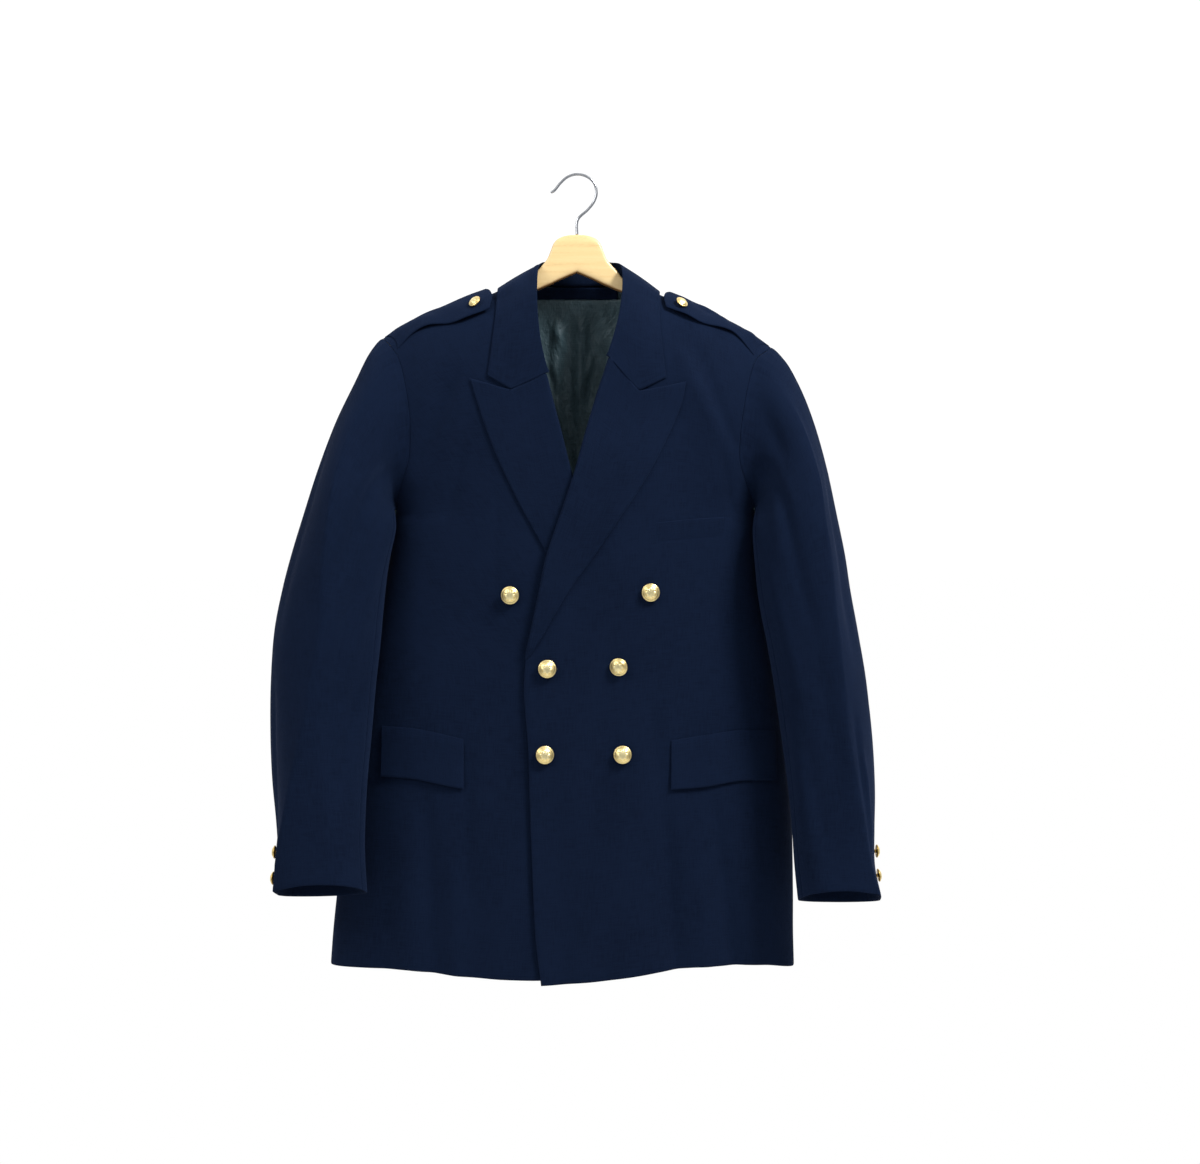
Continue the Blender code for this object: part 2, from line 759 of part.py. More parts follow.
def collar_point(side, name, station, out):
    """Reads one of the collar's three guide lines at a station."""
    rows = COLLAR[side]
    x = side * read(station_rows(rows, name + "_x"), "n", "v", station)
    z = read(station_rows(rows, name + "_z"), "n", "v", station)
    depths = [row_depth(side, rows, name, i, out) for i in range(len(rows["fold_x"]))]
    y = read({"n": list(range(len(depths))), "v": depths}, "n", "v", station)
    return np.array((x, y, z))


def station_rows(rows, name):
    return {"n": list(range(len(rows[name]))), "v": rows[name]}


def row_depth(side, rows, name, i, out):
    depth = rows[name + "_y"][i]
    if depth is None:
        return torso_y(side * rows[name + "_x"][i], rows[name + "_z"][i], FRONT) - out
    return depth


def over_torso(point, out):
    """Moves a point out, where needed, to lie at least this far over the torso."""
    x, y, z = point
    side = RIGHT if x < 0 else LEFT
    if z > shoulder_z(side, x) - out:
        return point
    face = FRONT if y < 0 else BACK
    normal = torso_normal(x, z, face)
    needed = torso_y(x, z, face) + face * out / max(abs(normal[1]), STEEPEST)
    return np.array((x, face * max(face * y, face * needed), z))


def collar_section(side, station):
    """One closed section of the collar: the fall's face, the fold, the stand and the underside."""
    fold = collar_point(side, "fold", station, COLLAR_LIFT)
    edge = collar_point(side, "edge", station, COLLAR_REST)
    stand = collar_point(side, "stand", station, 0.0)
    rows = COLLAR[side]
    turn = station / (len(rows["fold_x"]) - 1)
    under = unit(mix((0, 1, 0), (0, 0, -1), step_up(turn, COLLAR_DOWN_STARTS, COLLAR_DOWN_ENDS)))
    under = unit(mix(under, (0, -1, 0), step_up(turn, COLLAR_DOWN_ENDS, COLLAR_FRONT_ENDS)))
    first_fold = np.array((side * rows["fold_x"][0], 0, rows["fold_z"][0]))
    corner = np.array((COLLAR_CORNER[side][0], 0, COLLAR_CORNER[side][1]))
    notch = np.array((NOTCH[side][0] + side * EDGE_GAP, 0, NOTCH[side][1] + EDGE_GAP))
    pull = (notch - mix(first_fold, corner, COLLAR_NOTCH_SHARE)) * max(0.0, 1 - station)
    face = []
    for j in range(COLLAR_FALL_COLUMNS):
        t = 1 - j / COLLAR_FALL_COLUMNS
        bend = min(t / COLLAR_NOTCH_SHARE, (1 - t) / (1 - COLLAR_NOTCH_SHARE))
        face.append(over_torso(mix(fold, edge, t) + pull * bend, COLLAR_REST))
    below = [over_torso(point + under * COLLAR_LAYER, COLLAR_REST - COLLAR_LAYER) for point in face]
    fold_back = fold - unit(edge - fold) * FOLD_ROUND + under * FOLD_DEPTH
    middle_stand = mix(fold, stand, 0.5) + under * FOLD_DEPTH
    crotch = mix(fold, stand, CROTCH_SHARE) + under * CROTCH_DEPTH
    return [*face, fold, fold_back, middle_stand, stand + under * COLLAR_LAYER, stand, crotch, *below[::-1]]


def make_collar():
    last = len(COLLAR[RIGHT]["fold_x"]) - 1
    stations = [last * i / COLLAR_ROWS for i in range(COLLAR_ROWS + 1)]
    loops = [collar_section(RIGHT, station) for station in stations]
    loops += [collar_section(LEFT, station) for station in stations[-2::-1]]
    fold = COLLAR_FALL_COLUMNS
    crotch = fold + 5
    cap = [(j, j + 1, len(loops[0]) - 2 - j, len(loops[0]) - 1 - j) for j in range(fold)]
    cap += [(fold, fold + 1, fold + 2, crotch), (fold + 2, fold + 3, fold + 4, crotch)]
    swept("collar", loops, "wool", cap)


# What shows inside the neck

def inside_back(name, half, top_z, bottom_z, columns, rows, layer, material):
    """A layer that lies on the inside of the back."""
    outer = []
    inner = []
    for i in range(rows + 1):
        outer_row = []
        inner_row = []
        for j in range(columns + 1):
            x = -half + 2 * half * j / columns
            top = min(top_z, read(BACK_NECK, "x", "z", abs(x)) - FACING_TOP)
            if abs(x) > NECK_X:
                top = min(top, shoulder_z(RIGHT if x < 0 else LEFT, x) - FACING_SHOULDER_DROP)
            z = top + (bottom_z - top) * i / rows
            pleat = PLEAT_DEPTH * math.exp(-(((x - PLEAT_X) / PLEAT_WIDTH) ** 2))
            pleat *= step_up(-z, -FACING_BOTTOM_Z, -PLEAT_FULL_Z)
            depth = CLOTH + LINING_GAP
            outer_row.append(skin(x, z, BACK, -depth))
            inner_row.append(skin(x, z, BACK, -depth - layer - pleat))
        outer.append(outer_row)
        inner.append(inner_row)
    wall(name, outer, inner, material)


def make_inside():
    inside_back("back_facing", FACING_HALF_WIDTH, 0, FACING_BOTTOM_Z, FACING_COLUMNS, FACING_ROWS, CLOTH, "wool")
    lining_top = FACING_BOTTOM_Z - EDGE_GAP
    inside_back("back_lining", LINING_HALF_WIDTH, lining_top, LINING_BOTTOM_Z, LINING_COLUMNS, LINING_ROWS,
                LINING, "satin")


# Sleeves

def armhole_ring(side):
    """The armhole's outer and inner edges, moved off the body's edge, from the tip round the front."""
    count = ARMHOLE_STEPS
    tip_z = shoulder_z(side, TIP_X)
    outer = []
    normals = []
    for i in range(2 * count):
        above = (1 - math.cos(math.pi * i / count)) / 2
        face = FRONT if i <= count else BACK
        x, z = side_edge(side, face, above if i % count else round(above), 0.0, 0.0)
        outer.append(np.array((x, torso_y(x, z, face), z)))
        normals.append(torso_normal(x, z, face))
    normals[0] = unit(np.array((side * TIP_TILT, 0, 1.0)))
    normals[count] = np.array((side * 1.0, 0, 0))
    middle = np.array((side * (TIP_X + ARMHOLE_AXIS_OUT), ARMHOLE_AXIS_Y, (tip_z + UNDERARM_Z) / 2))
    edge = []
    lining = []
    for i in range(2 * count):
        along = outer[(i + 1) % (2 * count)] - outer[i - 1]
        away = unit(np.cross(normals[i], along))
        if away @ (middle - outer[i]) < 0:
            away = -away
        edge.append(outer[i] + away * EDGE_GAP)
        lining.append(outer[i] + away * EDGE_GAP - normals[i] * CLOTH)
    return edge, lining


def sleeve_rings(side):
    """Rings of outer and inner points from the armhole to the cuff."""
    rows = SLEEVE[side]
    edge, edge_inside = armhole_ring(side)
    count = 2 * ARMHOLE_STEPS
    rings = [edge]
    last = len(rows["out_x"]) - 1
    for j in range(last + 1):
        outer = np.array((side * rows["out_x"][j], rows["mid_y"][j], rows["out_z"][j]))
        inner = np.array((side * rows["in_x"][j], rows["mid_y"][j], rows["in_z"][j]))
        cuff = step_up(j, last - CUFF_RINGS, last)
        ring = []
        for i in range(count):
            angle = 360 * i / count
            turn = math.radians(angle)
            gap = (angle - rows["crease"][j] + 180) % 360 - 180
            crease = CREASE_HEIGHT * math.exp(-((gap / CREASE_SPREAD) ** 2)) * rows["free"][j] ** 2
            reach = 1 + crease / np.linalg.norm(outer - inner) * 2
            point = (outer + inner) / 2 + (outer - inner) / 2 * math.cos(turn) * reach
            point = point - np.array((0, rows["half_depth"][j] * reach, 0)) * math.sin(turn)
            slant = CUFF_FRONT_RISE if math.sin(turn) > 0 else CUFF_BACK_DROP
            point[2] += slant * math.sin(turn) * cuff
            ring.append(mix(edge[i], point, rows["free"][j]))
        rings.append(ring)
    rings = np.asarray(rings)
    inside = np.empty_like(rings)
    for j in range(len(rings)):
        for i in range(count):
            along = rings[min(j + 1, last + 1), i] - rings[max(j - 1, 0), i]
            around = rings[j, (i + 1) % count] - rings[j, i - 1]
            normal = unit(np.cross(along, around)) * side
            inside[j, i] = rings[j, i] - normal * CLOTH
    inside[0] = edge_inside
    return rings, inside


def part_column(rings, index, toward):
    """A column of ring points moved a little towards the next one, to part two pieces at their seam."""
    column = rings[:, index % rings.shape[1]]
    other = rings[:, toward % rings.shape[1]]
    gap = other - column
    return column + gap / np.linalg.norm(gap, axis=1)[:, None] * SLEEVE_SEAM


def sleeve_piece(name, rings, inside, first, last):
    layers = []
    for grid in (rings, inside):
        columns = [part_column(grid, first, first + 1)]
        columns += [grid[:, i % grid.shape[1]] for i in range(first + 1, last)]
        columns.append(part_column(grid, last, last - 1))
        layers.append(np.stack(columns, axis=1))
    wall(name, layers[0], layers[1], "wool")


def make_sleeve(side):
    rings, inside = sleeve_rings(side)
    count = rings.shape[1]
    sleeve_piece("top_sleeve_" + side_name(side), rings, inside, HINDARM_STEP, FOREARM_STEP)
    sleeve_piece("under_sleeve_" + side_name(side), rings, inside, FOREARM_STEP, count + HINDARM_STEP)
    return rings


# Flaps, welt and straps

def laid_piece(name, rows, out, layer, flare, base):
    """A flap or welt that lies on a front, made from the front's own points."""
    outer = []
    inner = []
    first = rows["x"][0]
    last = rows["x"][-1]
    for i in range(FLAP_ROWS + 1):
        down = i / FLAP_ROWS
        outer_row = []
        inner_row = []
        for j in range(FLAP_COLUMNS + 1):
            x = mix(first, last, math.sin(math.pi / 2 * j / FLAP_COLUMNS))
            z = mix(read(rows, "x", "top", x), read(rows, "x", "bottom", x), down)
            height = base(x, z) + out + flare * down * down
            outer_row.append(skin(x, z, FRONT, height))
            inner_row.append(skin(x, z, FRONT, height - layer))
        outer.append(outer_row)
        inner.append(inner_row)
    wall(name, outer, inner, "wool")


def strap_point(side, x, angle, out):
    """A point over the shoulder at an angle from its ridge, towards the front where negative."""
    face = FRONT if angle < 0 else BACK
    roll = FRONT_ROLL if angle < 0 else BACK_ROLL
    z = shoulder_z(side, x) - roll * (1 - math.cos(math.radians(angle)))
    y = torso_y(x, z, face)
    ahead = torso_y(x, z - SLOPE_STEP, face)
    normal = unit(np.array((side * TIP_TILT, face * SLOPE_STEP, abs(y - ahead))))
    return np.array((x, y, z)) + normal * out


def strap_grid(side, columns, steps):
    """Places on a strap: rows from its free end to the sleeve, columns from front edge to back edge."""
    rows = STRAP[side]
    first = rows["x"][0]
    last = rows["x"][-1]
    grid = []
    for i in range(columns + 1):
        t = i / columns
        line = []
        for j in range(steps + 1):
            s = j / steps
            reach = mix(last, TIP_X - STRAP_SEAM, step_up(s, 0, STRAP_SEAM_TURN))
            x = mix(first + read(STRAP_END, "share", "inset", s), reach, t)
            drop = shoulder_z(side, x) - read(rows, "x", "edge", min(x, last))
            front_angle = -math.degrees(math.acos(max(-1.0, 1 - drop / FRONT_ROLL)))
            angle = mix(front_angle, STRAP_BACK_ANGLE, s)
            lift = STRAP_LIFT + STRAP_END_LIFT * (1 - t) ** 3
            lift += STRAP_WAVE * (1 - s) ** 2 * (1 - math.cos(2 * math.pi * STRAP_WAVES * t)) * (1 - t ** 4)
            line.append((side * x, float(angle), float(lift)))
        grid.append(line)
    return grid


def make_strap(side):
    grid = strap_grid(side, STRAP_COLUMNS, STRAP_STEPS)
    outer = [[strap_point(side, x, angle, lift) for x, angle, lift in line] for line in grid]
    inner = [[strap_point(side, x, angle, lift - CLOTH) for x, angle, lift in line] for line in grid]
    wall("shoulder_strap_" + side_name(side), outer, inner, "wool")


# Buttons

def button(name, base, normal, radius):
    """A domed shank button that stands on a point of the cloth."""
    normal = unit(normal)
    across = unit(np.cross(normal, (0.0, 0.0, 1.0)))
    up = np.cross(across, normal)
    loops = []
    for share, height in zip(BUTTON_PROFILE["radius"], BUTTON_PROFILE["height"]):
        loop = []
        for k in range(BUTTON_SEGMENTS):
            turn = 2 * math.pi * k / BUTTON_SEGMENTS
            spoke = across * math.cos(turn) + up * math.sin(turn)
            loop.append(base + normal * (SEAM + height * radius) + spoke * share * radius)
        loops.append(loop)
    swept(name, loops, "gold")


def make_buttons(sleeves):
    for name, x, z in zip(FRONT_BUTTONS["name"], FRONT_BUTTONS["x"], FRONT_BUTTONS["z"]):
        out = RAISE * raise_share(x, z) if name != "button_upper_right" else 0.0
        button(name, skin(x, z, FRONT, out), torso_normal(x, z, FRONT), BUTTON_RADIUS)
    for side in (RIGHT, LEFT):
        x, share = STRAP_BUTTON[side]
        drop = shoulder_z(side, x) - read(STRAP[side], "x", "edge", abs(x))
        angle = -math.degrees(math.acos(1 - drop / FRONT_ROLL)) * (1 - share)
        t = (abs(x) - STRAP[side]["x"][0]) / (TIP_X - STRAP[side]["x"][0])
        lift = STRAP_LIFT + STRAP_END_LIFT * (1 - t) ** 3 + STRAP_WAVE
        base = strap_point(side, x, angle, lift)
        button("strap_button_" + side_name(side), base, base - strap_point(side, x, angle, 0), SMALL_BUTTON_RADIUS)
        rings = sleeves[side]
        for k, z in enumerate(CUFF_BUTTON_Z):
            name = "cuff_button_" + side_name(side) + ("_upper" if k == 0 else "_lower")
            button(name, *sleeve_place(rings, side, z), SMALL_BUTTON_RADIUS)


def sleeve_place(rings, side, z):
    """A point and its normal on the sleeve's outer side, near the hindarm seam."""
    step = CUFF_BUTTON_ANGLE[side] / (180 / ARMHOLE_STEPS)
    low = int(math.floor(step))
    line = mix(rings[:, low], rings[:, low + 1], step - low)
    j = int(np.argmax(line[:, 2] < z)) - 1
    t = (z - line[j, 2]) / (line[j + 1, 2] - line[j, 2])
    point = mix(line[j], line[j + 1], t)
    around = mix(rings[j, low + 1] - rings[j, low], rings[j + 1, low + 1] - rings[j + 1, low], t)
    normal = unit(np.cross(line[j + 1] - line[j], around)) * side
    return point, normal


# Hanger

def make_wood():
    rows = WOOD_PROFILE
    loops = []
    hump = list(zip(rows["x"], rows["top"], rows["bottom"], rows["half_thickness"]))
    sections = [(-x, top, bottom, half) for x, top, bottom, half in hump[:0:-1]] + hump
    for side in (RIGHT, LEFT):
        arm = []
        for k in range(ARM_STEPS + 1):
            t = k / ARM_STEPS
            x = mix(ARM_START_X, ARM_END_X, t)
            tip = step_up(t, 1 - ARM_TIP_STEPS / ARM_STEPS, 1)
            top = shoulder_z(side, x) - ARM_CLEARANCE - ARM_TIP_DROP * tip
            bottom = shoulder_z(side, x) - ARM_CLEARANCE - mix(ARM_START_HEIGHT, ARM_END_HEIGHT, t)
            half = rows["half_thickness"][0] - ARM_TIP_THINNING * tip
            arm.append((side * float(x), top, float(bottom), half))
        sections = arm[::-1] + sections if side == RIGHT else sections + arm
    for x, top, bottom, half_thickness in sections:
        loop = []
        for k in range(WOOD_SEGMENTS):
            turn = 2 * math.pi * (k + 0.5) / WOOD_SEGMENTS
            c = math.copysign(abs(math.cos(turn)) ** WOOD_SQUARENESS, math.cos(turn))
            s = math.copysign(abs(math.sin(turn)) ** WOOD_SQUARENESS, math.sin(turn))
            loop.append((x, half_thickness * c, (top + bottom) / 2 + (top - bottom) / 2 * s))
        loops.append(loop)
    swept("hanger", loops, "beech")


def make_hook():
    points = list(zip(HOOK_PATH["x"], HOOK_PATH["z"]))
    lengths = [0.0]
    for a, b in zip(points, points[1:]):
        lengths.append(lengths[-1] + math.dist(a, b))
    rows = {"s": lengths, "x": HOOK_PATH["x"], "z": HOOK_PATH["z"]}
    curve = bpy.data.curves.new("hanger_hook", "CURVE")
    curve.dimensions = "3D"
    curve.bevel_depth = WIRE_RADIUS * MM
    curve.bevel_resolution = WIRE_ROUNDNESS
    curve.use_fill_caps = True
    line = curve.splines.new("POLY")
    line.points.add(HOOK_STEPS)
    top = WIRE_RADIUS - max(read(rows, "s", "z", lengths[-1] * k / HOOK_STEPS) for k in range(HOOK_STEPS + 1))
    for k in range(HOOK_STEPS + 1):
        s = lengths[-1] * k / HOOK_STEPS
        lifted = read(rows, "s", "z", s) + top * step_up(s, 0, lengths[1])
        line.points[k].co = (read(rows, "s", "x", s) * MM, 0, lifted * MM, 1)
    curve.materials.append(surface("chrome"))
    thing = bpy.data.objects.new("hanger_hook", curve)
    bpy.context.scene.collection.objects.link(thing)


def main():
    for thing in list(bpy.data.objects):
        bpy.data.objects.remove(thing)
    make_body()
    make_collar()
    make_inside()
    sleeves = {side: make_sleeve(side) for side in (RIGHT, LEFT)}
    for side in (RIGHT, LEFT):
        make_lapel(side)
        laid_piece("pocket_flap_" + side_name(side), FLAP[side], FLAP_OUT, DOUBLED, FLAP_FLARE,
                   lambda x, z, s=side: RAISE * raise_share(x, z) if s == LEFT else 0.0)
        make_strap(side)
    laid_piece("chest_welt", WELT, WELT_OUT, WELT_LAYER, 0.0, lambda x, z: RAISE * raise_share(x, z))
    make_buttons(sleeves)
    make_wood()
    make_hook()


main()
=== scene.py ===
"""Looks of a double-breasted jacket on its wooden hanger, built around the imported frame.

The frame is the part's own: +Z up, the front facing -Y, the origin under the hook's top.
Lengths in the tables are millimetres. A side is -1 for the wearer's right and +1 for the
left, and a face is -1 for the front and +1 for the back.
"""
import math

import bpy
import numpy as np
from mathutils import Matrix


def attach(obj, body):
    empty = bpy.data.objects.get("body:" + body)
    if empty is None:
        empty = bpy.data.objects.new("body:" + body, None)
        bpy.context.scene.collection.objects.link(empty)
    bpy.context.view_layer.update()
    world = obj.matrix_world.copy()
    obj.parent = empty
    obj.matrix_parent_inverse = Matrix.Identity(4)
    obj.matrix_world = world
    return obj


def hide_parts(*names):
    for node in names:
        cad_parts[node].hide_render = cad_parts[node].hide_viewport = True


MM = 0.001
RIGHT = -1
LEFT = 1
FRONT = -1
BACK = 1

# Cloth
CLOTH = 1.6
DOUBLED = 2.0
LINING = 1.0
SEAM = 0.3
CLOSED_SEAM = 0.04
REST_GAP = 0.7
EDGE_GAP = 0.4
SLOPE_STEP = 0.5
EDGE_NEAR = 0.9
EDGE_PULL = 0.72
NEXT_PULL = 0.16
FACING_REACH = 95.0

# Torso form
SIDE_ROUNDNESS = 2.2
FRONT_ROLL = 120.0
BACK_ROLL = 90.0
STEEPEST = 0.45

# Grid counts
ARM_ROWS = 56
SKIRT_ROWS = 126
FRONT_COLUMNS = 78
NECK_COLUMNS = 20
BACK_COLUMNS = 78
LAPEL_ROWS = 90
LAPEL_COLUMNS = 30
ROLL_COLUMNS = 10
FLAP_ROWS = 22
FLAP_COLUMNS = 48
STRAP_ROWS = 70
STRAP_COLUMNS = 34
SLEEVE_AROUND = 108
SLEEVE_RINGS = 150


def table(header, *rows):
    """Returns a dictionary with one list for each named column."""
    return {name: [row[i] for row in rows] for i, name in enumerate(header.split())}


# Half width of the body. Above the underarm it is the width that the rounded side would have.
HALF_WIDTH = table(
    "z right left",
    (-100, 264, 264),
    (-184, 255, 252),
    (-268, 238, 234),
    (-322, 224, 220),
    (-350, 215, 210),
    (-372, 207, 203),
    (-385, 205, 201),
    (-391, 208, 203),
    (-400, 209.5, 204),
    (-430, 212.5, 205),
    (-465, 219, 209.5),
    (-500, 225, 216),
    (-567, 236, 227),
    (-651, 249, 237),
    (-700, 256.5, 241),
    (-741, 263, 243),
    (-811, 271, 244),
    (-850, 275, 244),
    (-890, 278, 245),
)

# How far the front and the back stand off the hanger
DEPTH = table(
    "z front back",
    (-90, 56, 44),
    (-200, 62, 52),
    (-300, 69, 56),
    (-400, 70, 50),
    (-560, 65, 42),
    (-700, 64, 44),
    (-900, 62, 50),
)

# Height of the shoulder line at a distance from the middle
SHOULDER = table(
    "x right left",
    (0, -90, -90),
    (40, -98, -99),
    (62, -114, -115),
    (90, -131, -133),
    (120, -141, -144),
    (150, -151, -156),
    (180, -162, -171),
    (219, -184, -194),
    (262, -214, -226),
)
NECK_X = 62.0
TIP_X = 219.0
UNDERARM_Z = -385.0

# Armhole seam as seen from the front and from the back
ARMHOLE = table(
    "z right_front left_front right_back left_back",
    (-184, 219, 221, 219, 221),
    (-194, 209, 219, 214, 219),
    (-208, 199, 202, 209, 210),
    (-230, 192, 193, 204, 203),
    (-268, 185, 185, 200, 198),
    (-300, 184, 181, 198, 195),
    (-325, 186, 181, 199, 194),
    (-345, 193, 187, 200, 195),
    (-365, 200, 195, 202, 198),
    (-385, 205, 201, 205, 201),
)

# Neck edge, roll line and front edge of the two fronts, from top to bottom.
# The left front laps over the right one.
FRONT_EDGE = table(
    "z right left",
    (-114, -62, 62),
    (-140, -59, 62),
    (-170, -53, 55),
    (-200, -45, 42.5),
    (-213, -40, 36),
    (-232, -33, 30),
    (-250, -28.5, 24),
    (-294, -17, 11),
    (-341, -5, -2),
    (-390, 10, -18),
    (-432, 22, -32),
    (-469, 32, -40),
    (-507, 43, -48),
    (-542, 54, -55),
    (-577, 57, -57),
    (-602, 57, -55.5),
    (-640, 56, -52.5),
    (-700, 55, -51),
    (-765, 54, -49),
    (-845, 52, -45),
    (-902, 50, -39),
)
BREAK_Z = -544.0

# Hem line of each front and of the back
HEM = {
    RIGHT: table("x z", (-278, -889), (-195, -888), (-118, -895), (-42, -897), (60, -893)),
    LEFT: table(
        "x z", (-45, -902), (-18, -901), (35, -896), (102, -887), (142, -884), (207, -885), (245, -891),
    ),
}
HEM_BACK = table("x z", (-278, -889), (-140, -894), (0, -896), (140, -891), (245, -891))

# Outer edges of the lapels, from peak to break
LAPEL_EDGE = {
    RIGHT: table(
        "z x", (-235, -117), (-270, -106), (-321, -87), (-366, -66), (-405, -45),
        (-430, -31), (-463, -11), (-500, 14), (-525, 34), (-541, 50),
    ),
    LEFT: table(
        "z x", (-239, 121), (-268, 114), (-329, 85), (-385, 50), (-432, 19),
        (-463, -5), (-497, -25), (-520, -38), (-541, -51),
    ),
}
GORGE = {RIGHT: (-33, -231), LEFT: (35, -213)}
NOTCH = {RIGHT: (-71, -248.5), LEFT: (68, -250)}
PEAK = {RIGHT: (-117, -235), LEFT: (121, -239)}
COLLAR_CORNER = {RIGHT: (-98, -232), LEFT: (99, -234)}
NOTCH_COLUMN = 0.4
LAPEL_LIFT = 2.0
LAPEL_END = 4.0
LAPEL_TAPER = 16.0
LAPEL_END_OUT = 0.6
LAPEL_END_SHARE = 0.25
LAPEL_END_LAYER = 0.5
ROLL_REACH = 3.0
ROLL_THINS = 0.15
ROLL_LAYER = 1.0
ROLL_TRIM = 4.0
ROLL_TRIM_START = -520.0
ROLL_TRIM_END = -541.0

# How far the over front is raised where it lies on the under front and its lapel
RAISE = 5.0
RAISE_INNER_X = 72.0
RAISE_OUTER_X = 130.0
RAISE_TOP_Z = -262.0
RAISE_FULL_Z = -336.0

# Collar stations from the gorge to the middle of the back.
# The fold is its top line, the edge its free edge and the stand its seam on the neck.
# A y of None means that the point lies on the front.
COLLAR = {
    RIGHT: table(
        "fold_x fold_y fold_z edge_x edge_y edge_z stand_x stand_y stand_z",
        (32, None, -229.6, 98, None, -232, 29.5, None, -228),
        (40, None, -196, 94, None, -200, 44.6, None, -195),
        (44, None, -162, 90.5, None, -167, 52.4, None, -163),
        (45, None, -134, 89.5, None, -147, 56.7, None, -138),
        (44.5, -21, -109, 89, -20, -132.5, 59.0, -19, -121),
        (41, 4, -98, 88, 6, -127.2, 58.8, 2, -117.5),
        (33, 24, -94, 73, 33, -137, 43, 23, -118),
        (18, 35, -92, 40, 44, -143, 23, 31.5, -120),
        (0, 38, -91.5, 0, 46, -144, 0, 35, -120.5),
    ),
    LEFT: table(
        "fold_x fold_y fold_z edge_x edge_y edge_z stand_x stand_y stand_z",
        (35, None, -211.6, 99, None, -234, 32.5, None, -210),
        (43.5, None, -184, 95, None, -202, 46.9, None, -185),
        (49, None, -160, 92.5, None, -170, 55.4, None, -162),
        (52, None, -134, 92.5, None, -149, 60.0, None, -139),
        (52, -21, -110, 93, -19, -136, 60.2, -19, -122),
        (49, 4, -99, 92, 6, -130.5, 59.0, 2, -118),
        (38, 25, -94.5, 75, 34, -138, 44, 23, -118.5),
        (20, 35, -92, 41, 44, -143, 24, 31.5, -120),
        (0, 38, -91.5, 0, 46, -144, 0, 35, -120.5),
    ),
}
COLLAR_STATIONS = 150
COLLAR_COLUMNS = 20
COLLAR_FOLD_STEPS = 8
COLLAR_STAND_STEPS = 6
COLLAR_LIFT = 4.5
COLLAR_REST = 2.5
COLLAR_LAYER = 1.5
COLLAR_NOTCH_SHARE = 0.5
COLLAR_CROWN = 1.2
COLLAR_WIDTH = 60.0
COLLAR_EDGE_PULL = 0.3
FOLD_ROUND = 1.6
FOLD_DEPTH = 1.95
CROTCH_SHARE = 0.45
CROTCH_DEPTH = 0.9

# Shares of the way round at which the collar's underside starts to face down, faces down and faces front
COLLAR_DOWN_STARTS = 0.36
COLLAR_DOWN_ENDS = 0.62
COLLAR_FRONT_ENDS = 0.86

# Back neck opening, the facing strip inside it and the lining that shows through the neck
BACK_NECK = table("x z", (0, -122), (25, -121.4), (45, -119), (62, -114.5))
FACING_TOP = -2.0
FACING_TOP_Z = -120.0
INSIDE_HEIGHT = 20.0
FACING_SHOULDER_DROP = 12.0
FACING_BOTTOM_Z = -133.0
FACING_HALF_WIDTH = 48.0
LINING_BOTTOM_Z = -440.0
LINING_HALF_WIDTH = 150.0
LINING_GAP = 2.5
FACING_STEP = 2.5
LINING_STEP = 2.6
LINING_LEAST_CREASE = -1.5
LINING_FLAT_ENDS = (0.12, 0.9)
LINING_WAVES = table("seed across down height", (3, 1.6, 1.0, 1.5), (5, 3.0, 1.7, 2.6))

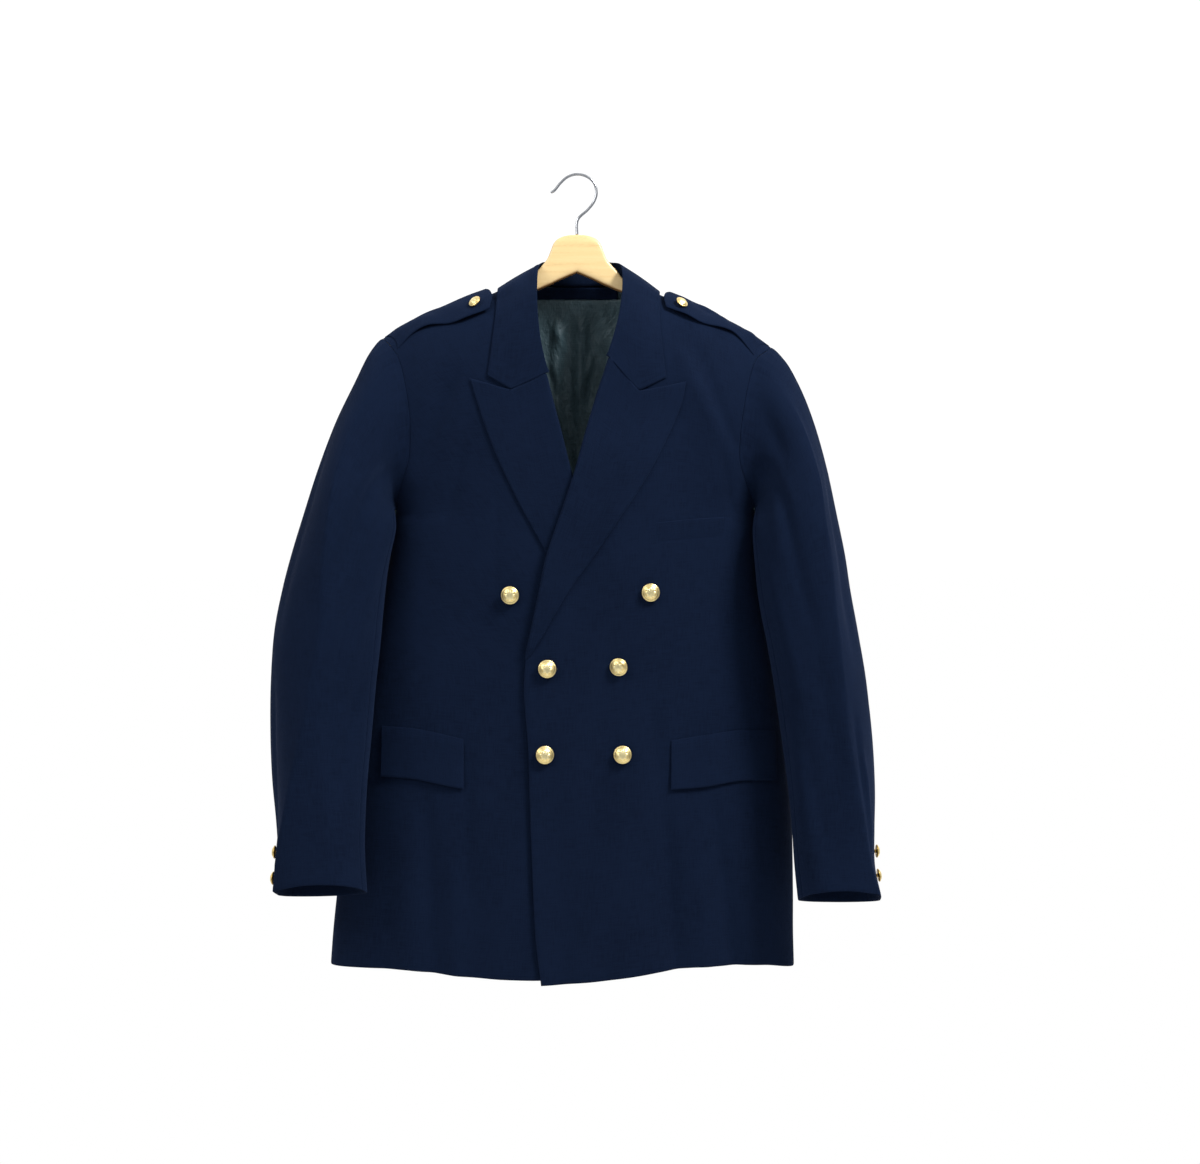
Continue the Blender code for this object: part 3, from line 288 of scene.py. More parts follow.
# Folds of the body: a line on one face with a half width and a height (negative is a trough).
# The first rows are those of the solid, and the others are the finer creases.
BODY_FOLDS = table(
    "face x0 z0 x1 z1 width height",
    (FRONT, -112, -720, -110, -890, 20, -3.0),
    (FRONT, -160, -730, -150, -885, 20, -5.0),
    (FRONT, 88, -720, 112, -885, 20, -4.0),
    (FRONT, 158, -730, 174, -885, 20, -5.5),
    (FRONT, -178, -335, -130, -232, 20, -4.0),
    (FRONT, -145, -420, -120, -320, 20, -3.0),
    (FRONT, 112, -200, 165, -340, 20, 4.0),
    (BACK, -182, -345, -110, -460, 22, -6.0),
    (BACK, 178, -345, 105, -470, 22, -6.0),
    (BACK, -95, -560, -118, -889, 22, -6.0),
    (BACK, 92, -600, 110, -889, 22, -5.5),
    (BACK, -180, -640, -196, -889, 20, -4.5),
    (BACK, 165, -600, 178, -889, 20, -4.5),
    (FRONT, -130, -226, -176, -326, 8, -3.6),
    (FRONT, -118, -238, -152, -300, 8, 1.9),
    (FRONT, -121, -304, -141, -376, 6, -2.7),
    (FRONT, -87, -350, -88, -478, 3, -1.3),
    (FRONT, -121, -640, -119, -800, 8, -3.2),
    (FRONT, -166, -690, -160, -884, 9, -3.8),
    (FRONT, -138, -760, -134, -885, 9, 2.3),
    (FRONT, -205, -740, -212, -888, 12, -3.0),
    (FRONT, -20, -700, -16, -870, 14, -1.5),
    (FRONT, 108, -193, 160, -303, 7, 2.8),
    (FRONT, 128, -190, 174, -304, 7, -3.4),
    (FRONT, 160, -312, 172, -378, 6, -3.4),
    (FRONT, 93, -424, 92, -452, 3, -1.1),
    (FRONT, 132, -420, 131, -440, 4, -0.9),
    (FRONT, 81, -581, 96, -720, 10, -2.8),
    (FRONT, 98, -716, 109, -864, 9, -3.4),
    (FRONT, 150, -694, 173, -866, 8, -3.8),
    (FRONT, 136, -760, 142, -880, 8, 2.1),
    (FRONT, 196, -790, 214, -884, 9, -2.3),
    (FRONT, 30, -690, 34, -880, 16, -1.5),
    (FRONT, 150, -430, 168, -540, 12, -1.9),
    (FRONT, -160, -450, -172, -560, 12, -1.9),
    (BACK, -150, -300, -60, -420, 8, -3.0),
    (BACK, 150, -310, 70, -430, 8, -3.0),
    (BACK, -60, -480, -72, -700, 12, -2.3),
    (BACK, 62, -520, 70, -760, 12, -2.3),
    (BACK, -140, -600, -150, -860, 9, 2.7),
    (BACK, 136, -620, 148, -880, 9, 2.5),
    (BACK, -70, -150, -120, -240, 10, -2.3),
    (BACK, 74, -155, 124, -236, 10, -2.3),
)
FOLD_RISE = 3.0
FOLD_LEAST_RISE = 22.0
HEM_FOLD_Z = -860.0

# Uneven swells of cloth that hangs: how many waves, their lengths and their height
SWELLS = 9
SWELL_LENGTHS = (45.0, 130.0)
SWELL_HEIGHT = 0.28
SWELL_LEAN = 0.35
SWELL_DOWN = 0.45
SLEEVE_SWELL_ROUND = 0.9
BODY_SEED = 7
SLEEVE_SEED = 11

# Creases of the lining, as it faces the neck
LINING_FOLDS = table(
    "x0 z0 x1 z1 width height",
    (-9, -140, -9, -430, 2.2, -4.8),
    (-34, -150, -12, -196, 4, 3.0),
    (-40, -186, -14, -240, 4, 2.6),
    (30, -168, 12, -214, 4, 3.0),
    (42, -196, 16, -262, 5, 3.2),
    (36, -240, 10, -300, 5, 2.6),
    (-30, -236, -12, -290, 4, 2.4),
    (3, -150, 2, -400, 6, 4.5),
    (13, -146, 27, -252, 5, -4.8),
    (27, -252, 20, -330, 5, -3.6),
    (40, -160, 44, -236, 6, 3.6),
    (-20, -142, -24, -262, 7, 3.9),
    (-43, -138, -26, -246, 5, -3.9),
    (-58, -160, -50, -300, 8, 3.3),
    (60, -170, 66, -320, 9, -3.6),
    (24, -138, 36, -150, 3, -1.8),
    (-28, -136, -20, -156, 3, -1.8),
    (8, -300, 22, -420, 6, 2.7),
    (-30, -290, -22, -420, 7, -2.7),
    (-92, -200, -86, -400, 12, 3.9),
    (96, -200, 90, -400, 12, 3.6),
    (-120, -220, -126, -420, 9, -3.3),
    (122, -230, 118, -420, 9, -3.3),
)

# Sleeve rings: outer and inner points seen from the front, middle and half depth,
# how far the ring has left the armhole, and where round it the front crease runs
SLEEVE = {
    RIGHT: table(
        "out_x out_z in_x in_z mid_y half_depth free crease",
        (219, -184, 205, -385, 0, 38, 0.00, 50),
        (231, -193, 212, -375, -6, 44, 0.35, 50),
        (243, -213, 212, -376, -12, 50, 0.60, 52),
        (256, -247, 211, -378, -19, 55, 0.80, 58),
        (273, -288, 208, -386, -28, 59, 0.93, 64),
        (289, -337, 206, -402, -36, 62, 1.00, 70),
        (303, -385, 208, -430, -42, 61, 1.00, 76),
        (316, -430, 211, -462, -46, 59, 1.00, 82),
        (326, -470, 214, -494, -48, 58, 1.00, 88),
        (334, -515, 216.5, -527, -51, 56, 1.00, 90),
        (337, -570, 221, -572, -54, 53, 1.00, 86),
        (336.5, -625, 225, -625, -58, 50, 1.00, 77),
        (334, -675, 229, -675, -63, 47, 1.00, 66),
        (330, -720, 231, -718, -68, 45, 1.00, 54),
        (328, -760, 231, -757, -72, 43, 1.00, 40),
        (327, -801, 228, -798, -76, 42, 1.00, 30),
    ),
    LEFT: table(
        "out_x out_z in_x in_z mid_y half_depth free crease",
        (219, -194, 201, -385, 0, 38, 0.00, 48),
        (234, -206, 208, -375, -6, 44, 0.35, 48),
        (247, -225, 208, -376, -12, 50, 0.60, 50),
        (259.5, -255, 206, -378, -19, 55, 0.80, 52),
        (270, -292, 203, -386, -28, 59, 0.93, 54),
        (280, -338, 200, -402, -37, 62, 1.00, 56),
        (288.5, -383, 198.5, -430, -44, 61.5, 1.00, 59),
        (297, -428, 200, -463, -48, 59, 1.00, 62),
        (303, -470, 204.5, -495, -50, 58, 1.00, 65),
        (311, -515, 211, -527, -52, 56, 1.00, 68),
        (320, -570, 218.5, -573, -55, 53, 1.00, 71),
        (325.5, -628, 225.5, -628, -59, 50, 1.00, 72),
        (328, -685, 232, -685, -64, 47, 1.00, 66),
        (327.5, -730, 235.5, -728, -69, 45, 1.00, 58),
        (328, -768, 238, -766, -73, 43, 1.00, 50),
        (334, -806, 242, -806, -77, 42, 1.00, 42),
    ),
}
CREASE_HEIGHT = 4.6
CREASE_SPREAD = 20.0
CREST_HEIGHT = 4.0
CREST_SPREAD = 7.0
FACET_DEPTH = 2.6
FACET_PLACE = 42.0
FACET_SPREAD = 22.0
CUFF_RINGS = 4
CUFF_FRONT_RISE = 16.0
CUFF_BACK_DROP = 9.0
HINDARM_ANGLE = -40.0
FOREARM_ANGLE = 160.0
SLEEVE_SEAM = 0.06
ARMHOLE_AXIS_OUT = 12.0
ARMHOLE_AXIS_Y = -5.0
TIP_TILT = 0.4
RING_END_SPREAD = 8.0

# Creases that both sleeves have at the back, then those of each sleeve: from an angle and a height
# to another, a half width and a height. The angle is 0 at the outside, 90 in front, 180 at the body
# and 270 behind.
BACK_OF_SLEEVE = (
    (300, -330, 250, -460, 12, -4.6),
    (240, -520, 300, -620, 12, -5.1),
    (262, -660, 268, -780, 12, 3.2),
    (330, -420, 320, -620, 10, 2.8),
)
SLEEVE_FOLDS = {
    RIGHT: table(
        "a0 z0 a1 z1 width height",
        (112, -205, 150, -318, 7, -6.7),
        (84, -200, 124, -318, 7, 4.3),
        (128, -214, 160, -306, 5, 2.9),
        (136, -240, 112, -420, 9, -3.2),
        (62, -236, 78, -420, 10, -2.4),
        (118, -470, 104, -640, 8, -2.6),
        (120, -330, 96, -470, 9, -3.2),
        (150, -400, 128, -560, 10, 2.8),
        (140, -560, 120, -700, 10, -2.8),
        (100, -640, 112, -780, 10, 2.3),
        (20, -300, 30, -520, 9, -2.8),
        (26, -560, 10, -720, 8, -3.2),
        *BACK_OF_SLEEVE,
    ),
    LEFT: table(
        "a0 z0 a1 z1 width height",
        (112, -214, 140, -300, 6, -5.8),
        (84, -214, 122, -312, 7, 4.3),
        (62, -216, 96, -330, 6, -3.5),
        (130, -240, 108, -420, 9, -3.0),
        (40, -236, 62, -430, 10, -2.4),
        (96, -520, 88, -680, 8, -2.4),
        (112, -360, 92, -520, 9, -3.2),
        (140, -430, 122, -600, 10, 2.8),
        (50, -640, 40, -760, 4, 3.8),
        (58, -600, 52, -700, 5, -2.8),
        (30, -340, 40, -540, 9, -2.8),
        (128, -620, 110, -760, 10, -2.8),
        *BACK_OF_SLEEVE,
    ),
}
SLEEVE_FOLD_SCALE = 0.85
SLEEVE_FOLD_RUN = (-0.3, 1.3)
SLEEVE_FOLD_RISE = (-0.15, 0.3)
SLEEVE_FOLD_FALL = (0.7, 1.15)

# The underarm is tucked in to lie against the body, and the cuffs are faced with wool
TUCK = {RIGHT: 8.0, LEFT: 6.0}
TUCK_PLACE = (165.0, -392.0)
TUCK_SPREAD = (17.0, 42.0)
TUCK_STARTS = 1.5
CUFF_FACING = 30.0
PUCKER_HEIGHT = 0.45
PUCKERS = 34
PUCKER_LENGTH = 18.0
PUCKER_TURN = 0.3
PUCKER_STARTS = 3.0
SETTLED_LENGTH = 30.0
SLEEVE_LENGTH = 640.0

# Pocket flaps and the chest welt, each from its end near the middle to its outer end
FLAP = {
    RIGHT: table(
        "x top bottom", (-124, -632, -687), (-150, -626, -682), (-178, -621, -677), (-216, -619, -675),
    ),
    LEFT: table(
        "x top bottom", (104, -633, -687), (140, -628, -685), (180, -623, -679), (221, -625, -680),
    ),
}
FLAP_OUT = 2.5
FLAP_TOP_OUT = 1.3
FLAP_FLARE = 1.5
FLAP_SET = 0.16
FLAP_WAVE = 0.5
FLAP_WAVES = 7.0
WELT = table("x top bottom", (86, -394, -416), (125, -390, -412), (164, -387, -409))
WELT_OUT = 1.6
WELT_END_OUT = -0.15
WELT_LAYER = 0.3
WELT_END_SHARE = 1 / 12
WELT_FALL = 0.7

# Shoulder straps: the front edge of each, its free end and how far it stands off the shoulder
STRAP = {
    RIGHT: table("x edge", (94, -157), (121, -168), (140, -172), (163, -174), (182, -182), (200, -199)),
    LEFT: table("x edge", (97, -155), (114, -162), (134, -170), (162, -177), (178, -184), (198, -206)),
}
STRAP_END = table("share inset", (0.0, 0.0), (0.2, -2.0), (0.4, 1.0), (0.65, 8.0), (1.0, 10.0))
STRAP_BACK_ANGLE = 20.0
STRAP_LIFT = 2.4
STRAP_END_LIFT = 3.5
STRAP_BACK_LIFT = 3.0
STRAP_BACK_RUN = (0.1, 0.7)
STRAP_BACK_SHARE = (0.3, 0.8)
STRAP_WAVE = 1.5
STRAP_WAVES = 2.2
STRAP_SEAM = 2.0
STRAP_SEAM_TURN = 0.6
STRAP_WIDTH = 60.0
STRAP_THINS_FROM = 0.84

# Creases of the straps: a share of the length and of the width, to another, a width and a height
STRAP_FOLDS = {
    RIGHT: table(
        "t0 s0 t1 s1 width height",
        (0.55, 0.3, 0.85, 0.7, 0.06, -0.8),
        (0.3, 0.2, 0.6, 0.5, 0.08, 0.6),
    ),
    LEFT: table(
        "t0 s0 t1 s1 width height",
        (0.18, 0.55, 0.48, 0.3, 0.05, -1.3),
        (0.32, 0.6, 0.62, 0.36, 0.06, 1.2),
        (0.52, 0.55, 0.76, 0.3, 0.05, -1.1),
        (0.80, 0.5, 0.98, 0.2, 0.05, 1.6),
        (0.88, 0.6, 0.99, 0.4, 0.05, -1.5),
    ),
}

# Buttons
BUTTON_RADIUS = 10.2
SMALL_BUTTON_RADIUS = 7.2
BUTTON_PROFILE = table(
    "radius height", (0.0, 0.0), (0.26, 0.0), (0.27, 0.24), (0.86, 0.25), (0.96, 0.30), (1.0, 0.38),
    (0.97, 0.46), (0.90, 0.50), (0.84, 0.50), (0.82, 0.54), (0.72, 0.62), (0.60, 0.69), (0.45, 0.74),
    (0.28, 0.775), (0.12, 0.79), (0.0, 0.79),
)
RIM_ROW = 6
BUTTON_RINGS = 60
BUTTON_SEGMENTS = 96
BEADS = 32
BEAD_HEIGHT = 0.028
BEAD_PLACE = 0.90
BEAD_SPREAD = 0.05
PETALS = 8
PETAL_HEIGHT = 0.035
PETAL_INNER = 0.34
PETAL_REACH = 0.26
PETAL_EDGE = (-0.05, 0.03)
VEIN_SPREAD = 0.22
VEIN_START = (0.15, 0.3)
VEIN_DEPTH = 0.5
RING_PLACE = 0.70
RING_SPREAD = 0.025
RING_HEIGHT = 0.7
EYE_EDGE = (0.10, 0.15)
EYE_HEIGHT = 0.5
# Painted shade and light of the buttons: the relief lightens the raised parts and darkens the recesses, the
# dome is painted lighter than the sides, and the two end points get their own painted shades
RELIEF_PAINTED_SHADE = 0.5
DOME_PAINTED_LIGHT = 0.45
END_PAINTED_SHADES = (0.0, 0.8)
FRONT_BUTTONS = table(
    "name x z tilt_x tilt_z",
    ("button_upper_right", -72, -473, 0.04, -0.10),
    ("button_upper_left", 81, -470, -0.03, -0.08),
    ("button_middle_right", -32, -554, 0.05, 0.06),
    ("button_middle_left", 47, -551, -0.28, -0.16),
    ("button_lower_right", -35, -648, 0.12, 0.05),
    ("button_lower_left", 51, -648, -0.02, 0.04),
)
STRAP_BUTTON = {RIGHT: (-109, 0.27), LEFT: (113, 0.27)}
CUFF_BUTTON_Z = (-752.0, -780.0)
CUFF_BUTTON_ANGLE = {RIGHT: 14.0, LEFT: -8.0}

# Buttonholes of the over front, worked from under the button away from the edge
BUTTONHOLES = table("x z", (-32, -554), (-35, -648))
BUTTONHOLE_LENGTH = 17.0
BUTTONHOLE_START = -6.0
BUTTONHOLE_STITCHES = 26
BUTTONHOLE_WIDTH = 2.6
THREAD_RADIUS = 0.32
THREAD_SIDES = 6
THREAD_FLATNESS = 1.6
THREAD_SUNK = 0.6
STITCH_STEPS = 8
STITCH_WAVE = (0.75, 0.5)
STITCH_END_SHARE = 1 / 14

# Stretch of the cloth's noises along its two threads, and their shares in its shade and relief
WARP = (900.0, 55.0, 1.0)
WEFT = (55.0, 900.0, 1.0)
CLOUD = (14.0, 9.0, 1.0)
CRUMPLE = (110.0, 60.0, 1.0)
CLOUD_SHARE = 0.45
WEAVE_SHARE = 0.05
GRAIN_RELIEF = 0.6
RELIEF_STRENGTH = 0.5
CRUMPLE_STRENGTH = 0.8
NOISE_ROUGHNESS = 0.55
SHEEN_ROUGHNESS = 0.45

# Hanger
WOOD_PROFILE = table(
    "x top bottom half_thickness",
    (0, -67, -110, 6.5),
    (12, -68, -115, 6.5),
    (22, -72, -119.5, 6.5),
    (27, -78, -122, 6.5),
    (30, -86, -123.5, 6.5),
    (34, -95, -125, 6.5),
    (44, -107, -129.5, 6.5),
    (56, -120.5, -134, 6.5),
)
ARM_START_X = 68.0
ARM_END_X = 212.0
ARM_STEPS = 11
ARM_CLEARANCE = 3.9
ARM_START_HEIGHT = 17.0
ARM_END_HEIGHT = 11.0
ARM_TIP_DROP = 4.0
ARM_TIP_THINNING = 2.0
ARM_TIP_STEPS = 2
WOOD_SQUARENESS = 0.42
WOOD_TIP = table("out share", (1.2, 0.93), (2.4, 0.75), (3.2, 0.45), (3.5, 0.06))
WOOD_SECTIONS = 190
WOOD_SEGMENTS = 56
WIRE_RADIUS = 1.7
WIRE_SEGMENTS = 20
WIRE_END = 0.01
HOOK_PATH = table(
    "x z", (0, -66.6), (0, -52), (3, -46), (12, -38), (19.5, -28), (22, -18), (19, -7), (10, 0.2),
    (-1, 2.2), (-11, -1), (-19, -8), (-26, -16.5), (-30, -18.5),
)
HOOK_STEPS = 220

# Camera, in metres: where it stands and how wide the picture is at the hanger
CAMERA_PLACE = (0.026, -2.2, -0.459)
PICTURE_WIDTH = 1.356
SENSOR = 36.0
WHITE = (1.0, 1.0, 1.0)
FRONT_GLOW = (0.36, 0.37, 0.39)
TOP_GLOW = 0.5
LIGHTS = {
    "key_light": ((1.55, -1.35, 1.45), 0.7, 80.0),
    "fill_light": ((-1.8, -1.6, 0.8), 1.2, 21.0),
}
FLOOR_Z = -1.9
FLOOR_RADIUS = 2.3
FLOOR_SIDES = 96
AIM = (0.0, 0.0, -0.45)


def read(rows, key, value, at):
    """Reads a smooth curve through the table's rows, held level past its ends."""
    keys = np.asarray(rows[key], float)
    values = np.asarray(rows[value], float)
    if keys[0] > keys[-1]:
        keys = keys[::-1]
        values = values[::-1]
    at = np.clip(np.asarray(at, float), keys[0], keys[-1])
    i = np.clip(np.searchsorted(keys, at) - 1, 0, len(keys) - 2)
    spans = np.diff(keys)
    slopes = np.diff(values) / spans
    inner = (values[2:] - values[:-2]) / (keys[2:] - keys[:-2])
    tangents = np.concatenate((slopes[:1], inner, slopes[-1:]))
    t = (at - keys[i]) / spans[i]
    return (
        (1 + 2 * t) * (1 - t) ** 2 * values[i]
        + t * (1 - t) ** 2 * spans[i] * tangents[i]
        + t * t * (3 - 2 * t) * values[i + 1]
        + t * t * (t - 1) * spans[i] * tangents[i + 1]
    )


def read_rows(rows, value, at):
    """Reads a column by the number of its row."""
    return read({"row": range(len(rows[value])), value: rows[value]}, "row", value, at)


def step_up(at, low, high):
    """Rises smoothly from 0 at low to 1 at high."""
    t = np.clip((at - low) / (high - low), 0.0, 1.0)
    return t * t * (3 - 2 * t)


def mix(a, b, t):
    return np.asarray(a, float) * (1 - t) + np.asarray(b, float) * t


def bell(at, width):
    """Falls smoothly from 1 at 0 on both sides."""
    return np.exp(-((at / width) ** 2))


def half_turn(angle):
    """An angle in degrees brought between -180 and 180."""
    return (angle + 180) % 360 - 180


def each(rows):
    """The rows of a table, one after another."""
    return zip(*rows.values())


def unit(vectors):
    return vectors / np.maximum(np.linalg.norm(vectors, axis=-1, keepdims=True), 1e-9)


def side_name(side):
    return "right" if side == RIGHT else "left"


def with_edges(shares, size):
    """Adds a share close to each end, so that a piece's edge can be rounded."""
    near = EDGE_NEAR / size
    return np.unique(np.concatenate((shares, [near, 1 - near])))


def even(count, size=None):
    """Even shares from 0 to 1, with one close to each end where a size is given."""
    shares = np.arange(count + 1) / count
    return shares if size is None else with_edges(shares, size)


# Torso surface

def by_side(x, rows, key, at):
    return np.where(x < 0, read(rows, key, "right", at), read(rows, key, "left", at))


def shoulder_z(x):
    return by_side(x, SHOULDER, "x", np.abs(x))


def strokes(rows, x, z, choose=None):
    """Summed height of soft folds along straight lines."""
    height = np.zeros(np.broadcast(x, z).shape)
    for *face, x0, z0, x1, z1, width, tall in each(rows):
        if face and face[0] != choose:
            continue
        length = math.hypot(x1 - x0, z1 - z0)
        along = ((x - x0) * (x1 - x0) + (z - z0) * (z1 - z0)) / length
        across = ((x - x0) * (z1 - z0) - (z - z0) * (x1 - x0)) / length
        rise = max(width * FOLD_RISE, FOLD_LEAST_RISE)
        share = step_up(along, -width, rise)
        if z1 > HEM_FOLD_Z:
            share = share * (1 - step_up(along, length - width, length + rise))
        height += tall * share * bell(across, width)
    return height


def swell(a, b, seed):
    """Uneven swells over a surface with two lengths along it."""
    random = np.random.default_rng(seed)
    height = np.zeros(np.broadcast(a, b).shape)
    for _ in range(SWELLS):
        length = random.uniform(*SWELL_LENGTHS)
        lean = random.normal(0.0, SWELL_LEAN)
        phase = random.uniform(0, 2 * math.pi)
        height += np.sin(2 * math.pi * (a * math.cos(lean) + b * math.sin(lean)) / length + phase)
    return height * SWELL_HEIGHT


def torso_y(x, z, face):
    """Depth of the body's outer surface."""
    roll = FRONT_ROLL if face == FRONT else BACK_ROLL
    drop = np.clip(shoulder_z(x) - z, 0.0, roll)
    rounded_top = np.sqrt(1 - ((roll - drop) / roll) ** 2)
    across = np.minimum(np.abs(x) / by_side(x, HALF_WIDTH, "z", z), 1.0)
    rounded_side = (1 - across ** SIDE_ROUNDNESS) ** (1 / SIDE_ROUNDNESS)
    depth = read(DEPTH, "z", "front" if face == FRONT else "back", z)
    depth = depth + strokes(BODY_FOLDS, x, z, face) + swell(x, z * SWELL_DOWN, BODY_SEED + face)
    return face * depth * rounded_top * rounded_side


def torso_normal(x, z, face):
    side = np.where(x < 0, -1.0, 1.0)
    y = torso_y(x, z, face)
    slope_x = (y - torso_y(x - side * SLOPE_STEP, z, face)) / (side * SLOPE_STEP)
    slope_z = (y - torso_y(x, z - SLOPE_STEP, face)) / SLOPE_STEP
    return unit(face * np.stack((-slope_x, np.ones_like(y), -slope_z), -1))


def skin(x, z, face, out):
    """Points on the torso moved out along the surface's normals."""
    x, z, out = np.broadcast_arrays(np.asarray(x, float), z, out)
    base = np.stack((x, torso_y(x, z, face), z), -1)
    return base + torso_normal(x, z, face) * out[..., None]


def raised(x, z, over=True):
    """How far the over front, and what lies on it, has risen onto what it overlaps."""
    share = (1 - step_up(x, RAISE_INNER_X, RAISE_OUTER_X)) * step_up(-z, -RAISE_TOP_Z, -RAISE_FULL_Z)
    return RAISE * share * over


def own_half(points, face):
    """Keeps a panel's points on their own side of the shoulder and side seams."""
    points[..., 1] = face * np.maximum(face * points[..., 1], CLOSED_SEAM / 2)
    return points


# Meshes

def link(name, data):
    """A new object in the scene."""
    thing = bpy.data.objects.new(name, data)
    bpy.context.scene.collection.objects.link(thing)
    return thing


def new_piece(name, points, faces, materials, marks=None, places=None):
    """Makes a piece from points in millimetres, with its faces turned out."""
    points = np.asarray(points, float)
    volume = 0.0
    for count in (3, 4):
        chosen = np.array([face for face in faces if len(face) == count])
        if len(chosen):
            for k in range(1, count - 1):
                a, b, c = points[chosen[:, 0]], points[chosen[:, k]], points[chosen[:, k + 1]]
                volume += np.einsum("ij,ij", a, np.cross(b, c))
    if volume < 0:
        faces = [face[::-1] for face in faces]
    mesh = bpy.data.meshes.new(name)
    mesh.from_pydata((points * MM).tolist(), [], [tuple(int(k) for k in face) for face in faces])
    mesh.shade_smooth()
    for material in materials:
        mesh.materials.append(material)
    if marks is not None:
        mesh.polygons.foreach_set("material_index", np.asarray(marks, np.int32))
    if places is not None:
        layer = mesh.uv_layers.new(name="cloth")
        corners = np.empty(len(mesh.loops), np.int32)
        mesh.loops.foreach_get("vertex_index", corners)
        layer.data.foreach_set("uv", (np.asarray(places)[corners] * MM).ravel())
    piece = link(name, mesh)
    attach(piece, "root")
    return piece


def band(count, around):
    """Faces between closed loops of points, one after another."""
    index = np.arange(count * around).reshape(count, around)
    ahead = np.roll(index, -1, axis=1)
    return np.stack((index[:-1], ahead[:-1], ahead[1:], index[1:]), -1).reshape(-1, 4).tolist()


def tube(name, loops, materials, ends=None):
    """A closed tube through loops of points, with a fan to a point at each end."""
    count, around = loops.shape[:2]
    first = count * around
    last = first - around
    ahead = [(k + 1) % around for k in range(around)]
    faces = band(count, around)
    faces += [(first, b, a) for a, b in enumerate(ahead)]
    faces += [(first + 1, last + a, last + b) for a, b in enumerate(ahead)]
    ends = (loops[0].mean(0), loops[-1].mean(0)) if ends is None else ends
    return new_piece(name, np.concatenate((loops.reshape(-1, 3), ends)), faces, materials)


def walk(points, axis=0):
    """The length from the first point to each, along a line or along the lines of a grid."""
    steps = np.linalg.norm(np.diff(points, axis=axis), axis=-1)
    start = 0.0 * np.take(steps, [0], axis)
    return np.concatenate((start, np.cumsum(steps, axis=axis)), axis)


def grid_places(grid):
    """Lengths along the cloth at each point of a grid, from its first column and row."""
    v = walk(grid).mean(1)[:, None]
    return np.stack((walk(grid, 1), -np.repeat(v, grid.shape[1], axis=1)), -1)


def wall(node, outer, inner, materials, inside_mark=0, u_start=None):
    """A closed wall of cloth with rounded edges between two grids of points."""
    rows, columns = outer.shape[:2]
    pull = np.zeros((rows, columns))
    for depth, share in ((1, NEXT_PULL), (0, EDGE_PULL)):
        pull[depth] = pull[-1 - depth] = np.maximum(pull[depth], share)
        pull[:, depth] = np.maximum(pull[:, depth], share)
        pull[:, -1 - depth] = np.maximum(pull[:, -1 - depth], share)
    middle = (outer + inner) / 2
    outer = outer + (middle - outer) * pull[..., None]
    inner = inner + (middle - inner) * pull[..., None]
    index = np.arange(rows * columns).reshape(rows, columns)
    back = index + rows * columns
    quads = [
        np.stack((index[:-1, :-1], index[:-1, 1:], index[1:, 1:], index[1:, :-1]), -1).reshape(-1, 4),
        np.stack((back[:-1, :-1], back[1:, :-1], back[1:, 1:], back[:-1, 1:]), -1).reshape(-1, 4),
    ]
    rim = np.concatenate((index[0, :-1], index[:-1, -1], index[-1, :0:-1], index[:0:-1, 0]))
    there = np.roll(rim, -1)
    quads.append(np.stack((there, rim, rim + rows * columns, there + rows * columns), -1))
    marks = np.zeros(sum(len(part) for part in quads), np.int32)
    marks[len(quads[0]):len(quads[0]) + len(quads[1])] = np.ravel(inside_mark)
    places = grid_places(outer)
    if u_start is not None:
        places[..., 0] += np.asarray(u_start)[:, None]
    points = np.concatenate((outer.reshape(-1, 3), inner.reshape(-1, 3)))
    places = np.concatenate((places.reshape(-1, 2),) * 2)
    piece = new_piece("cloth_" + node, points, np.concatenate(quads), materials, marks, places)
    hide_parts(node)
    declare(outer)


def declare(outer):
    """Measures the width and the length of a sheet of cloth along the cloth; nothing is done with them."""
    width = walk(outer, 1)[:, -1].max()
    length = walk(outer)[-1].max()


# Materials

def nodes_of(name):
    """A new material with its node tree and its shader."""
    material = bpy.data.materials.new(name)
    material.use_nodes = True
    tree = material.node_tree
    return material, tree, tree.nodes["Principled BSDF"]


def add(tree, kind, **values):
    """Adds a node. Values name its properties, or its inputs after in_."""
    node = tree.nodes.new(kind)
    for key, value in values.items():
        if key.startswith("in_"):
            node.inputs[key[3:]].default_value = value
        else:
            setattr(node, key, value)
    return node


def join(tree, start, output, end, into):
    tree.links.new(start.outputs[output], end.inputs[into])


def noise(tree, source, output, scale, detail):
    """Noise over coordinates stretched by three factors."""
    place = add(tree, "ShaderNodeMapping", in_Scale=scale)
    join(tree, source, output, place, "Vector")
    node = add(tree, "ShaderNodeTexNoise", in_Scale=1.0, in_Detail=detail, in_Roughness=NOISE_ROUGHNESS)
    join(tree, place, "Vector", node, "Vector")
    return node


def object_noise(tree, scale, detail):
    return noise(tree, add(tree, "ShaderNodeTexCoord"), "Object", scale, detail)


def maths(tree, operation, *values, clamp=False):
    """A sum, product or the like of values, each a number, a node or a (node, output) pair."""
    node = add(tree, "ShaderNodeMath", operation=operation, use_clamp=clamp)
    for k, value in enumerate(values):
        if isinstance(value, float):
            node.inputs[k].default_value = value
        else:
            source, output = value if isinstance(value, tuple) else (value, 0)
            join(tree, source, output, node, k)
    return node


def ramp(tree, source, output, *stops):
    node = add(tree, "ShaderNodeValToRGB")
    while len(node.color_ramp.elements) < len(stops):
        node.color_ramp.elements.new(0.5)
    for element, (place, colour) in zip(node.color_ramp.elements, stops):
        element.position = place
        element.color = (*colour, 1.0)
    join(tree, source, output, node, "Fac")
    return node


def paint(tree, shader, source, *stops):
    """Colours a shader by a value."""
    join(tree, ramp(tree, source, 0, *stops), "Color", shader, "Base Color")


def roughen(tree, shader, source, share, least):
    join(tree, maths(tree, "MULTIPLY_ADD", source, share, least), 0, shader, "Roughness")


